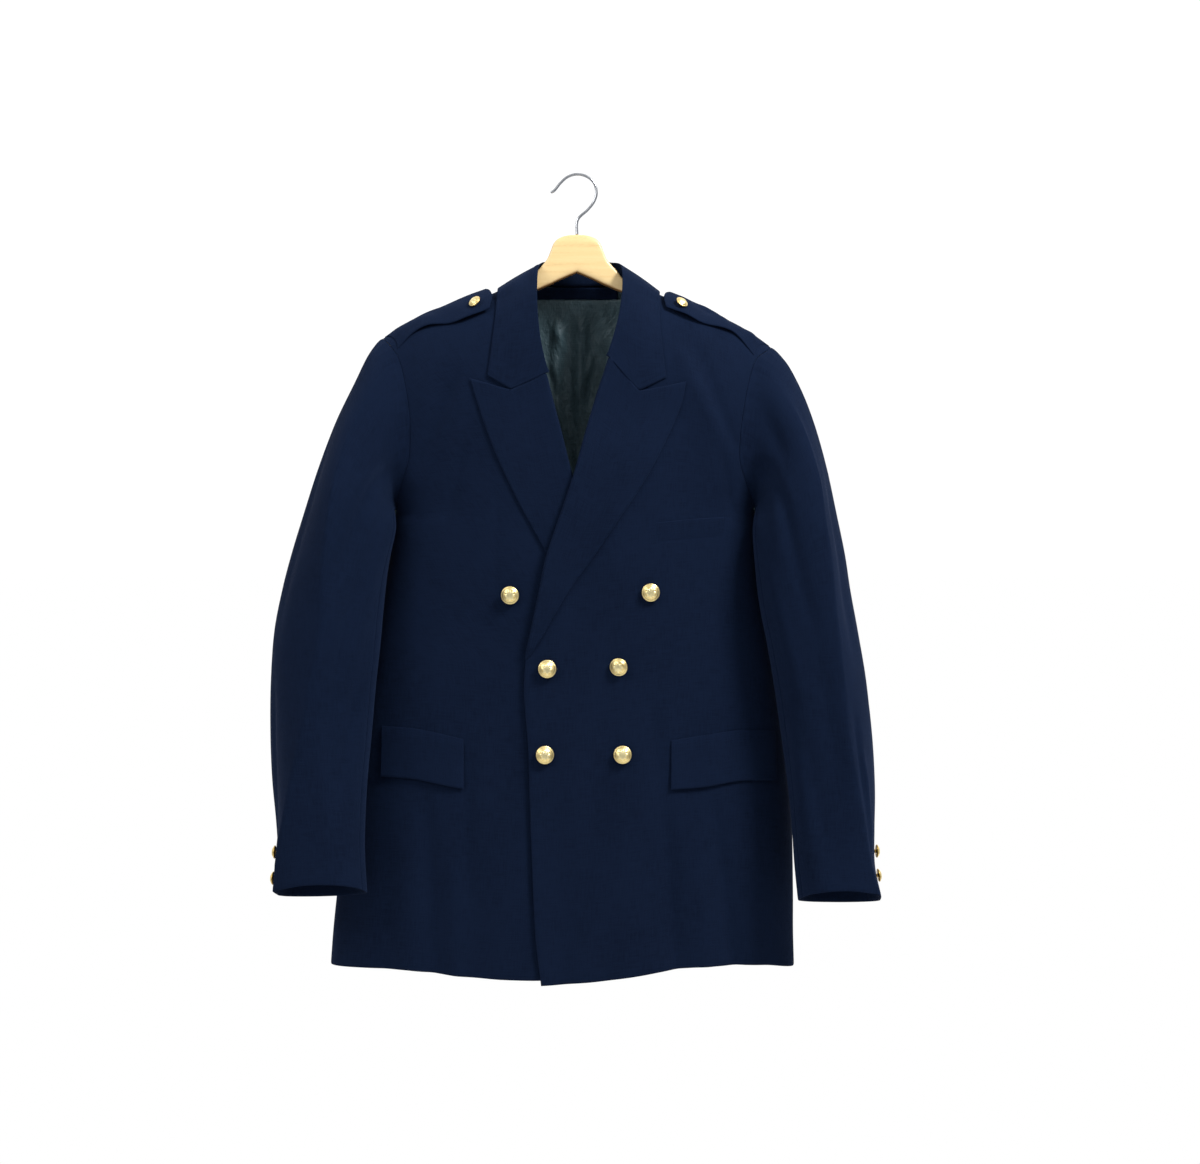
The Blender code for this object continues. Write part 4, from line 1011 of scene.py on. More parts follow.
def bump(tree, height, distance, strength, into):
    """A bump whose normal goes into a shader or into another bump."""
    node = add(tree, "ShaderNodeBump", in_Distance=distance, in_Strength=strength)
    join(tree, height, 0, node, "Height")
    join(tree, node, "Normal", into, "Normal")
    return node


def set_inputs(shader, **values):
    for key, value in values.items():
        shader.inputs[key.replace("_", " ")].default_value = value


def woven(tree, place, output, threads):
    """Height of a plain weave with this many threads to the metre."""
    split = add(tree, "ShaderNodeSeparateXYZ")
    join(tree, place, output, split, "Vector")
    waves = []
    for axis, shift in (("X", 0.0), ("Y", math.pi / 2)):
        turned = maths(tree, "MULTIPLY_ADD", (split, axis), threads * math.pi, shift)
        waves.append(maths(tree, "SINE", turned))
    return maths(tree, "MULTIPLY", *waves)


def cloth_material(name, dark, light, threads, slub, bump_depth, crumple=0.0, **settings):
    """Woven cloth: a plain weave with slubs along both threads and a slow change of shade."""
    material, tree, shader = nodes_of(name)
    uv = add(tree, "ShaderNodeUVMap", uv_map="cloth")
    weave = woven(tree, uv, "UV", threads)
    warp = noise(tree, uv, "UV", WARP, 2.0)
    weft = noise(tree, uv, "UV", WEFT, 2.0)
    slow = noise(tree, uv, "UV", CLOUD, 3.0)
    grain = maths(tree, "MULTIPLY", maths(tree, "ADD", warp, weft), slub)
    shade = maths(tree, "MULTIPLY_ADD", slow, CLOUD_SHARE, grain)
    shade = maths(tree, "MULTIPLY_ADD", weave, WEAVE_SHARE, shade)
    paint(tree, shader, shade, (0.25, dark), (0.95, light))
    set_inputs(shader, Sheen_Roughness=SHEEN_ROUGHNESS, **settings)
    height = maths(tree, "MULTIPLY_ADD", grain, GRAIN_RELIEF, weave)
    relief = bump(tree, height, bump_depth, RELIEF_STRENGTH, shader)
    if crumple:
        bump(tree, noise(tree, uv, "UV", CRUMPLE, 3.0), crumple, CRUMPLE_STRENGTH, relief)
    return material


def wool_material():
    return cloth_material(
        "navy_wool", (0.0004, 0.0018, 0.0074), (0.0044, 0.0102, 0.0290), threads=2300.0, slub=0.66,
        bump_depth=0.0003, Roughness=0.9, Specular_IOR_Level=0.05, Sheen_Weight=0.054,
        Sheen_Tint=(0.25, 0.42, 0.95, 1.0),
    )


def satin_material():
    return cloth_material(
        "dark_satin", (0.026, 0.054, 0.068), (0.120, 0.205, 0.240), threads=2600.0, slub=0.30,
        bump_depth=0.00008, crumple=0.005, Roughness=0.50, Specular_IOR_Level=0.5, Sheen_Weight=0.10,
        Sheen_Tint=(0.6, 0.75, 0.75, 1.0), Anisotropic=0.4,
    )


def gold_material():
    material, tree, shader = nodes_of("gilt_metal")
    # The relief attribute carries painted shade and light: dark brown in the recesses and on the button's
    # sides, bright gold on the raised parts and the dome.
    relief = add(tree, "ShaderNodeAttribute", attribute_name="relief")
    dull = object_noise(tree, (260.0, 260.0, 260.0), 4.0)
    shade = maths(tree, "MULTIPLY_ADD", dull, 0.25, (relief, "Fac"))
    paint(
        tree, shader, shade, (0.10, (0.52, 0.32, 0.07)), (0.50, (0.90, 0.66, 0.24)), (0.9, (1.0, 0.86, 0.46)),
    )
    roughen(tree, shader, dull, 0.22, 0.24)
    set_inputs(shader, Metallic=1.0)
    bump(tree, dull, 0.0001, 0.25, shader)
    return material


def wood_material():
    """Pale wood with a long grain, and painted shade: the faces that look down are mixed towards a dark
    brown.
    """
    material, tree, shader = nodes_of("beech_wood")
    wide = object_noise(tree, (9.0, 60.0, 150.0), 4.0)
    flecks = object_noise(tree, (260.0, 900.0, 1500.0), 2.0)
    streak = maths(tree, "MULTIPLY_ADD", flecks, 0.30, wide)
    colour = ramp(
        tree, streak, 0, (0.36, (0.66, 0.45, 0.20)), (0.60, (0.84, 0.60, 0.28)), (0.95, (0.90, 0.67, 0.34)),
    )
    parts = add(tree, "ShaderNodeSeparateXYZ")
    join(tree, add(tree, "ShaderNodeNewGeometry"), "Normal", parts, "Vector")
    # Painted shade: the more a face looks down, the more its colour is mixed towards a dark brown.
    under = maths(tree, "MULTIPLY_ADD", (parts, "Z"), -2.2, -0.6, clamp=True)
    edge = add(tree, "ShaderNodeMix", data_type="RGBA")
    edge.inputs["B"].default_value = (0.36, 0.17, 0.05, 1.0)
    join(tree, under, 0, edge, "Factor")
    join(tree, colour, "Color", edge, "A")
    join(tree, edge, "Result", shader, "Base Color")
    set_inputs(shader, Roughness=0.38, Coat_Weight=0.25, Coat_Roughness=0.2)
    bump(tree, streak, 0.0002, 0.2, shader)
    return material


def chrome_material():
    material, tree, shader = nodes_of("plated_wire")
    dull = object_noise(tree, (500.0, 500.0, 120.0), 3.0)
    paint(tree, shader, dull, (0.3, (0.42, 0.43, 0.45)), (0.7, (0.62, 0.63, 0.65)))
    roughen(tree, shader, dull, 0.15, 0.12)
    set_inputs(shader, Metallic=1.0)
    return material


def thread_material():
    material, tree, shader = nodes_of("navy_thread")
    twist = object_noise(tree, (3000.0, 3000.0, 3000.0), 2.0)
    paint(tree, shader, twist, (0.3, (0.002, 0.004, 0.010)), (0.8, (0.007, 0.011, 0.024)))
    set_inputs(shader, Roughness=0.6)
    return material


# Fronts and backs

def panel_rows():
    """Shares from the top to the underarm and from there to the hem, for each row."""
    above = (1 - np.cos(np.pi * np.arange(ARM_ROWS + 1) / ARM_ROWS)) / 2
    below = with_edges(np.arange(1, SKIRT_ROWS + 1) / SKIRT_ROWS, -UNDERARM_Z)
    below = below[below >= 1 / SKIRT_ROWS]
    return np.concatenate((above, np.ones(len(below)))), np.concatenate((np.zeros(len(above)), below))


def side_edge(side, face, above, below, hem_z):
    """Points of the armhole seam and, under the arm, of the side seam."""
    tip_z = shoulder_z(side * TIP_X)
    z = tip_z + (UNDERARM_Z - tip_z) * above + (hem_z - UNDERARM_Z) * below
    column = side_name(side) + ("_front" if face == FRONT else "_back")
    x = np.where(below > 0, read(HALF_WIDTH, "z", side_name(side), z), read(ARMHOLE, "z", column, z))
    x = np.where((above == 0.0), TIP_X, x)
    return np.stack((side * x, z), -1)


def patch(inner, outer, top, bottom, shares, spread):
    """Places on a panel between its four edges, each row by its share from top to bottom."""
    u = spread[None, :, None]
    s = shares[:, None, None]
    straight = inner[:, None] * (1 - u) + outer[:, None] * u
    return straight + (1 - s) * (top[None] - straight[:1]) + s * (bottom[None] - straight[-1:])


def front_places(side):
    """Rows of (x, z) places on one front, trimmed where the lapel's roll takes its place."""
    edge = side_name(side)
    hem = HEM[side]
    above, below = panel_rows()
    side_hem = read(hem, "x", "z", side * read(HALF_WIDTH, "z", edge, HEM_BACK["z"][0]))
    neck_z = shoulder_z(side * NECK_X)
    front_hem = read(hem, "x", "z", FRONT_EDGE[edge][-1])
    z = neck_z + (UNDERARM_Z - neck_z) * above + (front_hem - UNDERARM_Z) * below
    trim = ROLL_TRIM * (1 - step_up(-z, -ROLL_TRIM_START, -ROLL_TRIM_END))
    inner = np.stack((read(FRONT_EDGE, "z", edge, z) + side * trim, z), -1)
    outer = side_edge(side, FRONT, above, below, side_hem)
    spread = np.sin(np.pi / 2 * np.arange(FRONT_COLUMNS + 1) / FRONT_COLUMNS)
    spread = with_edges(spread, abs(inner[-1, 0] - outer[-1, 0]))
    x = mix(inner[0, 0], outer[0, 0], spread)
    top = np.stack((x, shoulder_z(x)), -1)
    x = mix(inner[-1, 0], outer[-1, 0], spread)
    bottom = np.stack((x, read(hem, "x", "z", x)), -1)
    return patch(inner, outer, top, bottom, (above + below) / 2, spread)


def back_places(side):
    """Rows of (x, z) places on one half of the back."""
    above, below = panel_rows()
    side_hem = read(HEM_BACK, "x", "z", side * read(HALF_WIDTH, "z", side_name(side), HEM_BACK["z"][0]))
    centre_top = BACK_NECK["z"][0]
    centre_hem = read(HEM_BACK, "x", "z", 0.0)
    centre = CLOSED_SEAM / 2
    z = centre_top + (UNDERARM_Z - centre_top) * above + (centre_hem - UNDERARM_Z) * below
    inner = np.stack((np.full_like(z, side * centre), z), -1)
    outer = side_edge(side, BACK, above, below, side_hem)
    neck_share = NECK_X / TIP_X
    rest = BACK_COLUMNS - NECK_COLUMNS
    spread = np.concatenate((
        neck_share * np.arange(NECK_COLUMNS) / NECK_COLUMNS,
        mix(neck_share, 1, np.sin(np.pi / 2 * np.arange(rest + 1) / rest)),
    ))
    spread = with_edges(spread, abs(inner[-1, 0] - outer[-1, 0]))
    on_neck = spread <= neck_share
    x = np.where(
        on_neck, mix(centre, NECK_X, spread / neck_share),
        mix(NECK_X, TIP_X, (spread - neck_share) / (1 - neck_share)),
    )
    rise = shoulder_z(side * NECK_X) - BACK_NECK["z"][-1]
    neck_z = read(BACK_NECK, "x", "z", x) + rise * spread / neck_share
    top = np.stack((side * x, np.where(on_neck, neck_z, shoulder_z(side * x))), -1)
    x = mix(inner[-1, 0], outer[-1, 0], spread)
    bottom = np.stack((x, read(HEM_BACK, "x", "z", x)), -1)
    return patch(inner, outer, top, bottom, (above + below) / 2, spread)


def make_body(wool, satin):
    for face, places_of in ((FRONT, front_places), (BACK, back_places)):
        for side in (RIGHT, LEFT):
            places = places_of(side)
            x = places[..., 0]
            z = places[..., 1]
            out = raised(x, z, face == FRONT and side == LEFT)
            outer = own_half(skin(x, z, face, out), face)
            inner = own_half(skin(x, z, face, out - CLOTH), face)
            faced = np.abs(x - x[:, :1])[:-1, :-1] < (FACING_REACH if face == FRONT else 0.0)
            node = ("front_" if face == FRONT else "back_") + side_name(side)
            wall(node, outer, inner, (wool, satin), np.where(faced, 0, 1), x[:, 0])


# Lapels

def lapel_places(side):
    """Rows of (x, z) places on a lapel's face and the share of each column."""
    edge = side_name(side)
    rim = LAPEL_EDGE[side]
    shares = even(LAPEL_ROWS, GORGE[side][1] - BREAK_Z)
    z = GORGE[side][1] + (BREAK_Z - GORGE[side][1]) * shares
    roll = np.stack((read(FRONT_EDGE, "z", edge, z) - side, z), -1)
    z = PEAK[side][1] + (rim["z"][-1] - PEAK[side][1]) * shares
    free = np.stack((read(rim, "z", "x", z), z), -1)
    free[-1] = roll[-1] + np.array((side * LAPEL_END, LAPEL_END / 2))
    free[-2] = mix(free[-1], free[-3], LAPEL_END_SHARE)
    near = EDGE_NEAR / abs(PEAK[side][0] - GORGE[side][0])
    notched = round(LAPEL_COLUMNS * NOTCH_COLUMN)
    spread = np.concatenate((
        NOTCH_COLUMN * np.arange(notched) / notched,
        mix(NOTCH_COLUMN, 1, np.arange(LAPEL_COLUMNS - notched + 1) / (LAPEL_COLUMNS - notched)),
        [1 - near],
    ))
    spread = np.unique(spread)
    share = spread[:, None]
    top = np.where(
        share <= NOTCH_COLUMN, mix(roll[0], NOTCH[side], share / NOTCH_COLUMN),
        mix(NOTCH[side], PEAK[side], (share - NOTCH_COLUMN) / (1 - NOTCH_COLUMN)),
    )
    bottom = mix(roll[-1], free[-1], share)
    return patch(roll, free, top, bottom, shares ** 0.5, spread), spread


def make_lapel(side, wool):
    """A lapel that rolls over the front's edge and lies on the front."""
    places, spread = lapel_places(side)
    x = places[..., 0]
    z = places[..., 1]
    base = raised(x, z, side == LEFT)
    lift = LAPEL_LIFT * (1 - spread[None]) ** 3
    if side == RIGHT:
        lift = lift * (1 - step_up(-z, -RAISE_TOP_Z, -RAISE_FULL_Z))
    taper = 1 - step_up(-z, -BREAK_Z - LAPEL_TAPER, -BREAK_Z)
    out = base + LAPEL_END_OUT + (REST_GAP + DOUBLED - LAPEL_END_OUT + lift) * taper
    layer = mix(ROLL_LAYER, DOUBLED, step_up(spread, 0.0, ROLL_THINS))[None]
    layer = layer * mix(LAPEL_END_LAYER, 1.0, taper)
    half = (out[:, :1] - base[:, :1] + CLOTH) / 2
    reach = np.minimum(half, ROLL_REACH)
    face_x = x + side * reach * (1 - spread[None]) ** 2
    turn = np.pi * (1 - np.arange(ROLL_COLUMNS) / ROLL_COLUMNS)[None]
    roll_x = x[:, :1] + side * reach
    middle = base[:, :1] - CLOTH + half
    layers = []
    for inset in (0.0, 1.0):
        thin = layer[:, :1] * inset
        rolled_x = roll_x - side * (reach - thin) * np.sin(turn)
        rolled_out = middle + (half - thin) * np.cos(turn)
        rolled_z = np.repeat(z[:, :1], ROLL_COLUMNS, axis=1)
        rolled = skin(rolled_x, rolled_z, FRONT, rolled_out)
        face = skin(face_x, z, FRONT, out - layer * inset)
        layers.append(np.concatenate((rolled, face), axis=1))
    node = "lapel_" + side_name(side)
    wall(node, layers[0], layers[1], (wool,))


# Collar

def collar_line(side, name, station, out):
    """Reads one of the collar's three guide lines."""
    rows = COLLAR[side]
    depths = []
    for x, y, z in zip(rows[name + "_x"], rows[name + "_y"], rows[name + "_z"]):
        depths.append(torso_y(np.array(side * x, float), np.array(z, float), FRONT) - out if y is None else y)
    x = side * read_rows(rows, name + "_x", station)
    z = read_rows(rows, name + "_z", station)
    y = read_rows({"depth": depths}, "depth", station)
    return np.stack((x, y, z), -1)


def over_torso(points, out):
    """Moves points out, where needed, to lie at least this far over the torso."""
    moved = points.copy()
    for face in (FRONT, BACK):
        x, y, z = np.moveaxis(points, -1, 0)
        normal = torso_normal(x, z, face)
        needed = torso_y(x, z, face) + face * out / np.maximum(np.abs(normal[..., 1]), STEEPEST)
        low = (z <= shoulder_z(x) - out) & ((y < 0) == (face == FRONT))
        moved[..., 1] = np.where(low, face * np.maximum(face * y, face * needed), moved[..., 1])
    return moved


def collar_sections(side):
    """Closed sections of the collar, from the gorge to the middle of the back."""
    rows = COLLAR[side]
    last = len(rows["fold_x"]) - 1
    station = last * np.arange(COLLAR_STATIONS + 1) / COLLAR_STATIONS
    fold = collar_line(side, "fold", station, COLLAR_LIFT)[:, None]
    edge = collar_line(side, "edge", station, COLLAR_REST)[:, None]
    stand = collar_line(side, "stand", station, 0.0)[:, None]
    turn = (station / last)[:, None, None]
    under = unit(mix((0, 1, 0), (0, 0, -1), step_up(turn, COLLAR_DOWN_STARTS, COLLAR_DOWN_ENDS)))
    under = unit(mix(under, (0, -1, 0), step_up(turn, COLLAR_DOWN_ENDS, COLLAR_FRONT_ENDS)))
    first_fold = np.array((side * rows["fold_x"][0], 0, rows["fold_z"][0]))
    corner = np.array((COLLAR_CORNER[side][0], 0, COLLAR_CORNER[side][1]))
    notch = np.array((NOTCH[side][0] + side * EDGE_GAP, 0, NOTCH[side][1] + EDGE_GAP))
    pull = (notch - mix(first_fold, corner, COLLAR_NOTCH_SHARE)) * np.maximum(0.0, 1 - station)[:, None, None]
    t = 1 - np.arange(1, COLLAR_COLUMNS) / COLLAR_COLUMNS
    t = np.concatenate(([1.0, 1 - EDGE_NEAR / COLLAR_WIDTH], t))[None, :, None]
    bend = np.minimum(t / COLLAR_NOTCH_SHARE, (1 - t) / (1 - COLLAR_NOTCH_SHARE))
    crown = under * COLLAR_CROWN * np.sin(np.pi * t)
    flat = mix(fold, edge, t) + pull * bend
    face = over_torso(flat - crown, COLLAR_REST)
    below = over_torso(flat - crown + under * COLLAR_LAYER, COLLAR_REST - COLLAR_LAYER)
    face[:, 0] = mix(face[:, 0], below[:, 0], COLLAR_EDGE_PULL)
    below[:, 0] = mix(below[:, 0], face[:, 0], COLLAR_EDGE_PULL)
    angle = (np.pi * np.arange(COLLAR_FOLD_STEPS + 1) / COLLAR_FOLD_STEPS)[None, :, None]
    away = unit(edge - fold)
    rolled = fold + under * FOLD_DEPTH / 2 * (1 - np.cos(angle)) - away * FOLD_ROUND * np.sin(angle)
    share = (np.arange(1, COLLAR_STAND_STEPS + 1) / COLLAR_STAND_STEPS)[None, :, None]
    neck_side = mix(fold, stand, share) + under * mix(FOLD_DEPTH, COLLAR_LAYER, share)
    crotch = mix(fold, stand, CROTCH_SHARE) + under * CROTCH_DEPTH
    return np.concatenate((face, rolled, neck_side, stand, crotch, below[:, ::-1]), axis=1)


def make_collar(wool):
    right = collar_sections(RIGHT)
    left = collar_sections(LEFT)
    loops = np.concatenate((right, left[-2::-1]))
    count, around = loops.shape[:2]
    fall = COLLAR_COLUMNS
    cap = [(j, j + 1, around - 2 - j, around - 1 - j) for j in range(fall)]
    cap.append(tuple(range(fall, around - fall)))
    end = (count - 1) * around
    faces = band(count, around) + [face[::-1] for face in cap]
    faces += [tuple(end + k for k in face) for face in cap]
    v = np.repeat(walk(loops[:, 0])[:, None], around, axis=1)
    places = np.stack((walk(loops, 1), v), -1).reshape(-1, 2)
    piece = new_piece("cloth_collar", loops.reshape(-1, 3), faces, (wool,), None, places)
    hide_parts("collar")
    shown = loops[:, :fall + COLLAR_FOLD_STEPS + COLLAR_STAND_STEPS]
    declare(shown)


# What shows inside the neck

def inside_back(node, half, top_z, bottom_z, layer, material, folds, step):
    """A layer that lies on the inside of the back."""
    x = -half + 2 * half * with_edges(np.linspace(0, 1, int(2 * half / step)), 2 * half)[None]
    top = np.minimum(top_z, read(BACK_NECK, "x", "z", np.abs(x)) - FACING_TOP)
    top = np.where(np.abs(x) > NECK_X, np.minimum(top, shoulder_z(x) - FACING_SHOULDER_DROP), top)
    down = with_edges(np.linspace(0, 1, max(6, int((top_z - bottom_z) / step))), INSIDE_HEIGHT)[:, None]
    z = top + (bottom_z - top) * down
    x = np.broadcast_to(x, z.shape)
    crease = 0.0 * x
    if folds:
        crease = strokes(LINING_FOLDS, x, z)
        for seed, wide, tall, height in each(LINING_WAVES):
            crease = crease + swell(x * wide, z * tall, seed) * height
    flat_top, flat_end = LINING_FLAT_ENDS
    crease = crease * step_up(down, 0.0, flat_top) * (1 - step_up(down, flat_end, 1.0))
    out = -CLOTH - LINING_GAP - np.maximum(crease, LINING_LEAST_CREASE)
    wall(node, skin(x, z, BACK, out - layer), skin(x, z, BACK, out), (material,))


def make_inside(wool, satin):
    inside_back(
        "back_facing", FACING_HALF_WIDTH, FACING_TOP_Z, FACING_BOTTOM_Z, CLOTH, wool, False, FACING_STEP,
    )
    inside_back(
        "back_lining", LINING_HALF_WIDTH, FACING_BOTTOM_Z - EDGE_GAP, LINING_BOTTOM_Z, LINING, satin, True,
        LINING_STEP,
    )


# Sleeves

def armhole_ring(side, angles):
    """The armhole's outer and inner edges, moved off the body's edge, from the tip round the front."""
    above = (1 - np.cos(np.radians(angles))) / 2
    in_front = np.sin(np.radians(angles)) >= 0
    edges = {}
    for face in (FRONT, BACK):
        place = side_edge(side, face, above, np.zeros_like(above), 0.0)
        x, z = place[:, 0], place[:, 1]
        edges[face] = (np.stack((x, torso_y(x, z, face), z), -1), torso_normal(x, z, face))
    choose = in_front[:, None]
    outer = np.where(choose, edges[FRONT][0], edges[BACK][0])
    normals = np.where(choose, edges[FRONT][1], edges[BACK][1])
    near_tip = bell(half_turn(angles), RING_END_SPREAD)[:, None]
    near_low = bell(angles % 360 - 180, RING_END_SPREAD)[:, None]
    normals = unit(normals * (1 - near_tip) + unit(np.array((side * TIP_TILT, 0, 1.0))) * near_tip)
    normals = unit(normals * (1 - near_low) + np.array((side * 1.0, 0, 0)) * near_low)
    tip_z = shoulder_z(side * TIP_X)
    middle = np.array((side * (TIP_X + ARMHOLE_AXIS_OUT), ARMHOLE_AXIS_Y, (tip_z + UNDERARM_Z) / 2))
    along = np.roll(outer, -1, axis=0) - np.roll(outer, 1, axis=0)
    away = unit(np.cross(normals, along))
    facing = np.sign(np.einsum("ij,ij->i", away, middle - outer))[:, None]
    away = away * np.where(facing == 0, 1, facing)
    edge = outer + away * SEAM
    return edge, edge - normals * CLOTH


def sleeve_crease(side, angle, z):
    """Height of the sleeve's finer creases at an angle and a height."""
    height = np.zeros(np.broadcast(angle, z).shape)
    for a0, z0, a1, z1, width, tall in each(SLEEVE_FOLDS[side]):
        run = (z - z0) / (z1 - z0)
        across = half_turn(angle - mix(a0, a1, np.clip(run, *SLEEVE_FOLD_RUN))) * SLEEVE_FOLD_SCALE
        share = step_up(run, *SLEEVE_FOLD_RISE) * (1 - step_up(run, *SLEEVE_FOLD_FALL))
        height += tall * share * bell(across, width)
    return height


def sleeve_rings(side):
    """Rings of outer and inner points from the armhole to the cuff, closed around."""
    rows = SLEEVE[side]
    last = len(rows["out_x"]) - 1
    angles = 360 * np.arange(SLEEVE_AROUND) / SLEEVE_AROUND
    edge, edge_inside = armhole_ring(side, angles)
    station = last * even(SLEEVE_RINGS, SLEEVE_LENGTH)
    value = {name: read_rows(rows, name, station)[:, None] for name in rows}
    outer = np.stack((side * value["out_x"], value["mid_y"], value["out_z"]), -1)
    inner = np.stack((side * value["in_x"], value["mid_y"], value["in_z"]), -1)
    turn = np.radians(angles)[None]
    gap = half_turn(angles[None] - value["crease"])
    free = np.clip(value["free"], 0, 1)
    crease = CREASE_HEIGHT * bell(gap, CREASE_SPREAD)
    crease = crease + CREST_HEIGHT * np.exp(-np.abs(gap) / CREST_SPREAD)
    crease = crease - FACET_DEPTH * bell(np.abs(gap) - FACET_PLACE, FACET_SPREAD)
    crease = crease * free ** 2
    width = np.linalg.norm(outer - inner, axis=-1)
    reach = 1 + crease / width * 2
    points = (outer + inner) / 2 + (outer - inner) / 2 * (np.cos(turn) * reach)[..., None]
    points[..., 1] -= value["half_depth"] * reach * np.sin(turn)
    cuff = step_up(station, last - CUFF_RINGS, last)[:, None]
    slant = np.where(np.sin(turn) > 0, CUFF_FRONT_RISE, CUFF_BACK_DROP)
    points[..., 2] += slant * np.sin(turn) * cuff
    rings = mix(edge[None], points, free[..., None])
    tuck = bell(angles[None] - TUCK_PLACE[0], TUCK_SPREAD[0])
    tuck = tuck * bell(rings[..., 2] - TUCK_PLACE[1], TUCK_SPREAD[1])
    tuck = tuck * step_up(station, 0.0, TUCK_STARTS)[:, None]
    rings[..., 0] -= side * TUCK[side] * tuck
    normals = ring_normals(rings, side)
    fine = sleeve_crease(side, angles[None], rings[..., 2])
    fine = fine + swell(angles[None] * SLEEVE_SWELL_ROUND, rings[..., 2] * SWELL_DOWN, SLEEVE_SEED + side)
    walked = walk(rings)
    cap = np.clip(np.cos(turn - PUCKER_TURN), 0, 1) ** 0.5
    pucker = PUCKER_HEIGHT * np.cos(turn * PUCKERS) * cap * bell(walked, PUCKER_LENGTH)
    settled = step_up(walked, 0.0, SETTLED_LENGTH)
    rings = rings + normals * (fine * settled + pucker * step_up(walked, 0.0, PUCKER_STARTS))[..., None]
    inside = rings - ring_normals(rings, side) * CLOTH
    inside[0] = edge_inside
    return rings, inside


def ring_normals(rings, side):
    along = np.gradient(rings, axis=0)
    around = np.roll(rings, -1, axis=1) - np.roll(rings, 1, axis=1)
    return unit(np.cross(around, along)) * side


def make_sleeve(side, wool, satin):
    rings, inside = sleeve_rings(side)
    step = 360 / SLEEVE_AROUND
    hind = round(HINDARM_ANGLE / step)
    fore = round(FOREARM_ANGLE / step)
    for node, first, last in (("top_sleeve_", hind, fore), ("under_sleeve_", fore, SLEEVE_AROUND + hind)):
        layers = []
        for grid in (rings, inside):
            columns = [grid[:, k % SLEEVE_AROUND] for k in range(first, last + 1)]
            start = unit(columns[1] - columns[0])
            end = unit(columns[-2] - columns[-1])
            near = [columns[0] + start * EDGE_NEAR, columns[-1] + end * EDGE_NEAR]
            columns[0] = columns[0] + start * SLEEVE_SEAM / 2
            columns[-1] = columns[-1] + end * SLEEVE_SEAM / 2
            columns = [columns[0], near[0], *columns[1:-1], near[1], columns[-1]]
            layers.append(np.stack(columns, axis=1))
        name = node + side_name(side)
        lined = layers[0][:-1, :-1, 2] > layers[0][-1:, :-1, 2] + CUFF_FACING
        wall(name, layers[0], layers[1], (wool, satin), np.where(lined, 1, 0))
    return rings


# Flaps, welt and straps

def laid_piece(node, rows, out_at, layer_at, over, wool):
    """A flap or welt that lies on a front, made from the front's own points."""
    first = rows["x"][0]
    last = rows["x"][-1]
    tall = rows["top"][0] - rows["bottom"][0]
    spread = np.sin(np.pi / 2 * np.arange(FLAP_COLUMNS + 1) / FLAP_COLUMNS)
    spread = with_edges(spread, abs(last - first))[None]
    down = even(FLAP_ROWS, tall)[:, None]
    x = mix(first, last, spread)
    z = mix(read(rows, "x", "top", x), read(rows, "x", "bottom", x), down)
    x = np.broadcast_to(x, z.shape)
    out = raised(x, z, over) + out_at(down, spread)
    outer = skin(x, z, FRONT, out)
    inner = skin(x, z, FRONT, out - layer_at(down))
    wall(node, outer, inner, (wool,))


def flap_out(down, spread):
    set_in = step_up(down, 0.0, FLAP_SET)
    wave = FLAP_WAVE * np.sin(spread * FLAP_WAVES) * down ** 2
    return mix(FLAP_TOP_OUT, FLAP_OUT, set_in) + FLAP_FLARE * down ** 2 + wave


def flap_layer(down):
    return mix(FLAP_TOP_OUT - SEAM, DOUBLED, step_up(down, 0.0, FLAP_SET))


def welt_out(down, spread):
    """The welt stands off at its top line only. Its other edges sink into the front."""
    ends = np.minimum(spread, 1 - spread) / WELT_END_SHARE
    return mix(WELT_END_OUT, WELT_OUT, (1 - down) ** WELT_FALL * np.clip(ends, 0.0, 1.0))


def welt_layer(down):
    return np.full_like(down, WELT_LAYER)


def strap_point(x, angle, out):
    """Points over the shoulder at angles from its ridge, towards the front where negative."""
    side = np.sign(x)
    rows = []
    for face, roll in ((FRONT, FRONT_ROLL), (BACK, BACK_ROLL)):
        z = shoulder_z(x) - roll * (1 - np.cos(np.radians(angle)))
        y = torso_y(x, z, face)
        ahead = torso_y(x, z - SLOPE_STEP, face)
        normal = unit(np.stack((side * TIP_TILT, np.full_like(y, face * SLOPE_STEP), np.abs(y - ahead)), -1))
        rows.append(np.stack((x, y, z), -1) + normal * out[..., None])
    return np.where((angle < 0)[..., None], rows[0], rows[1])


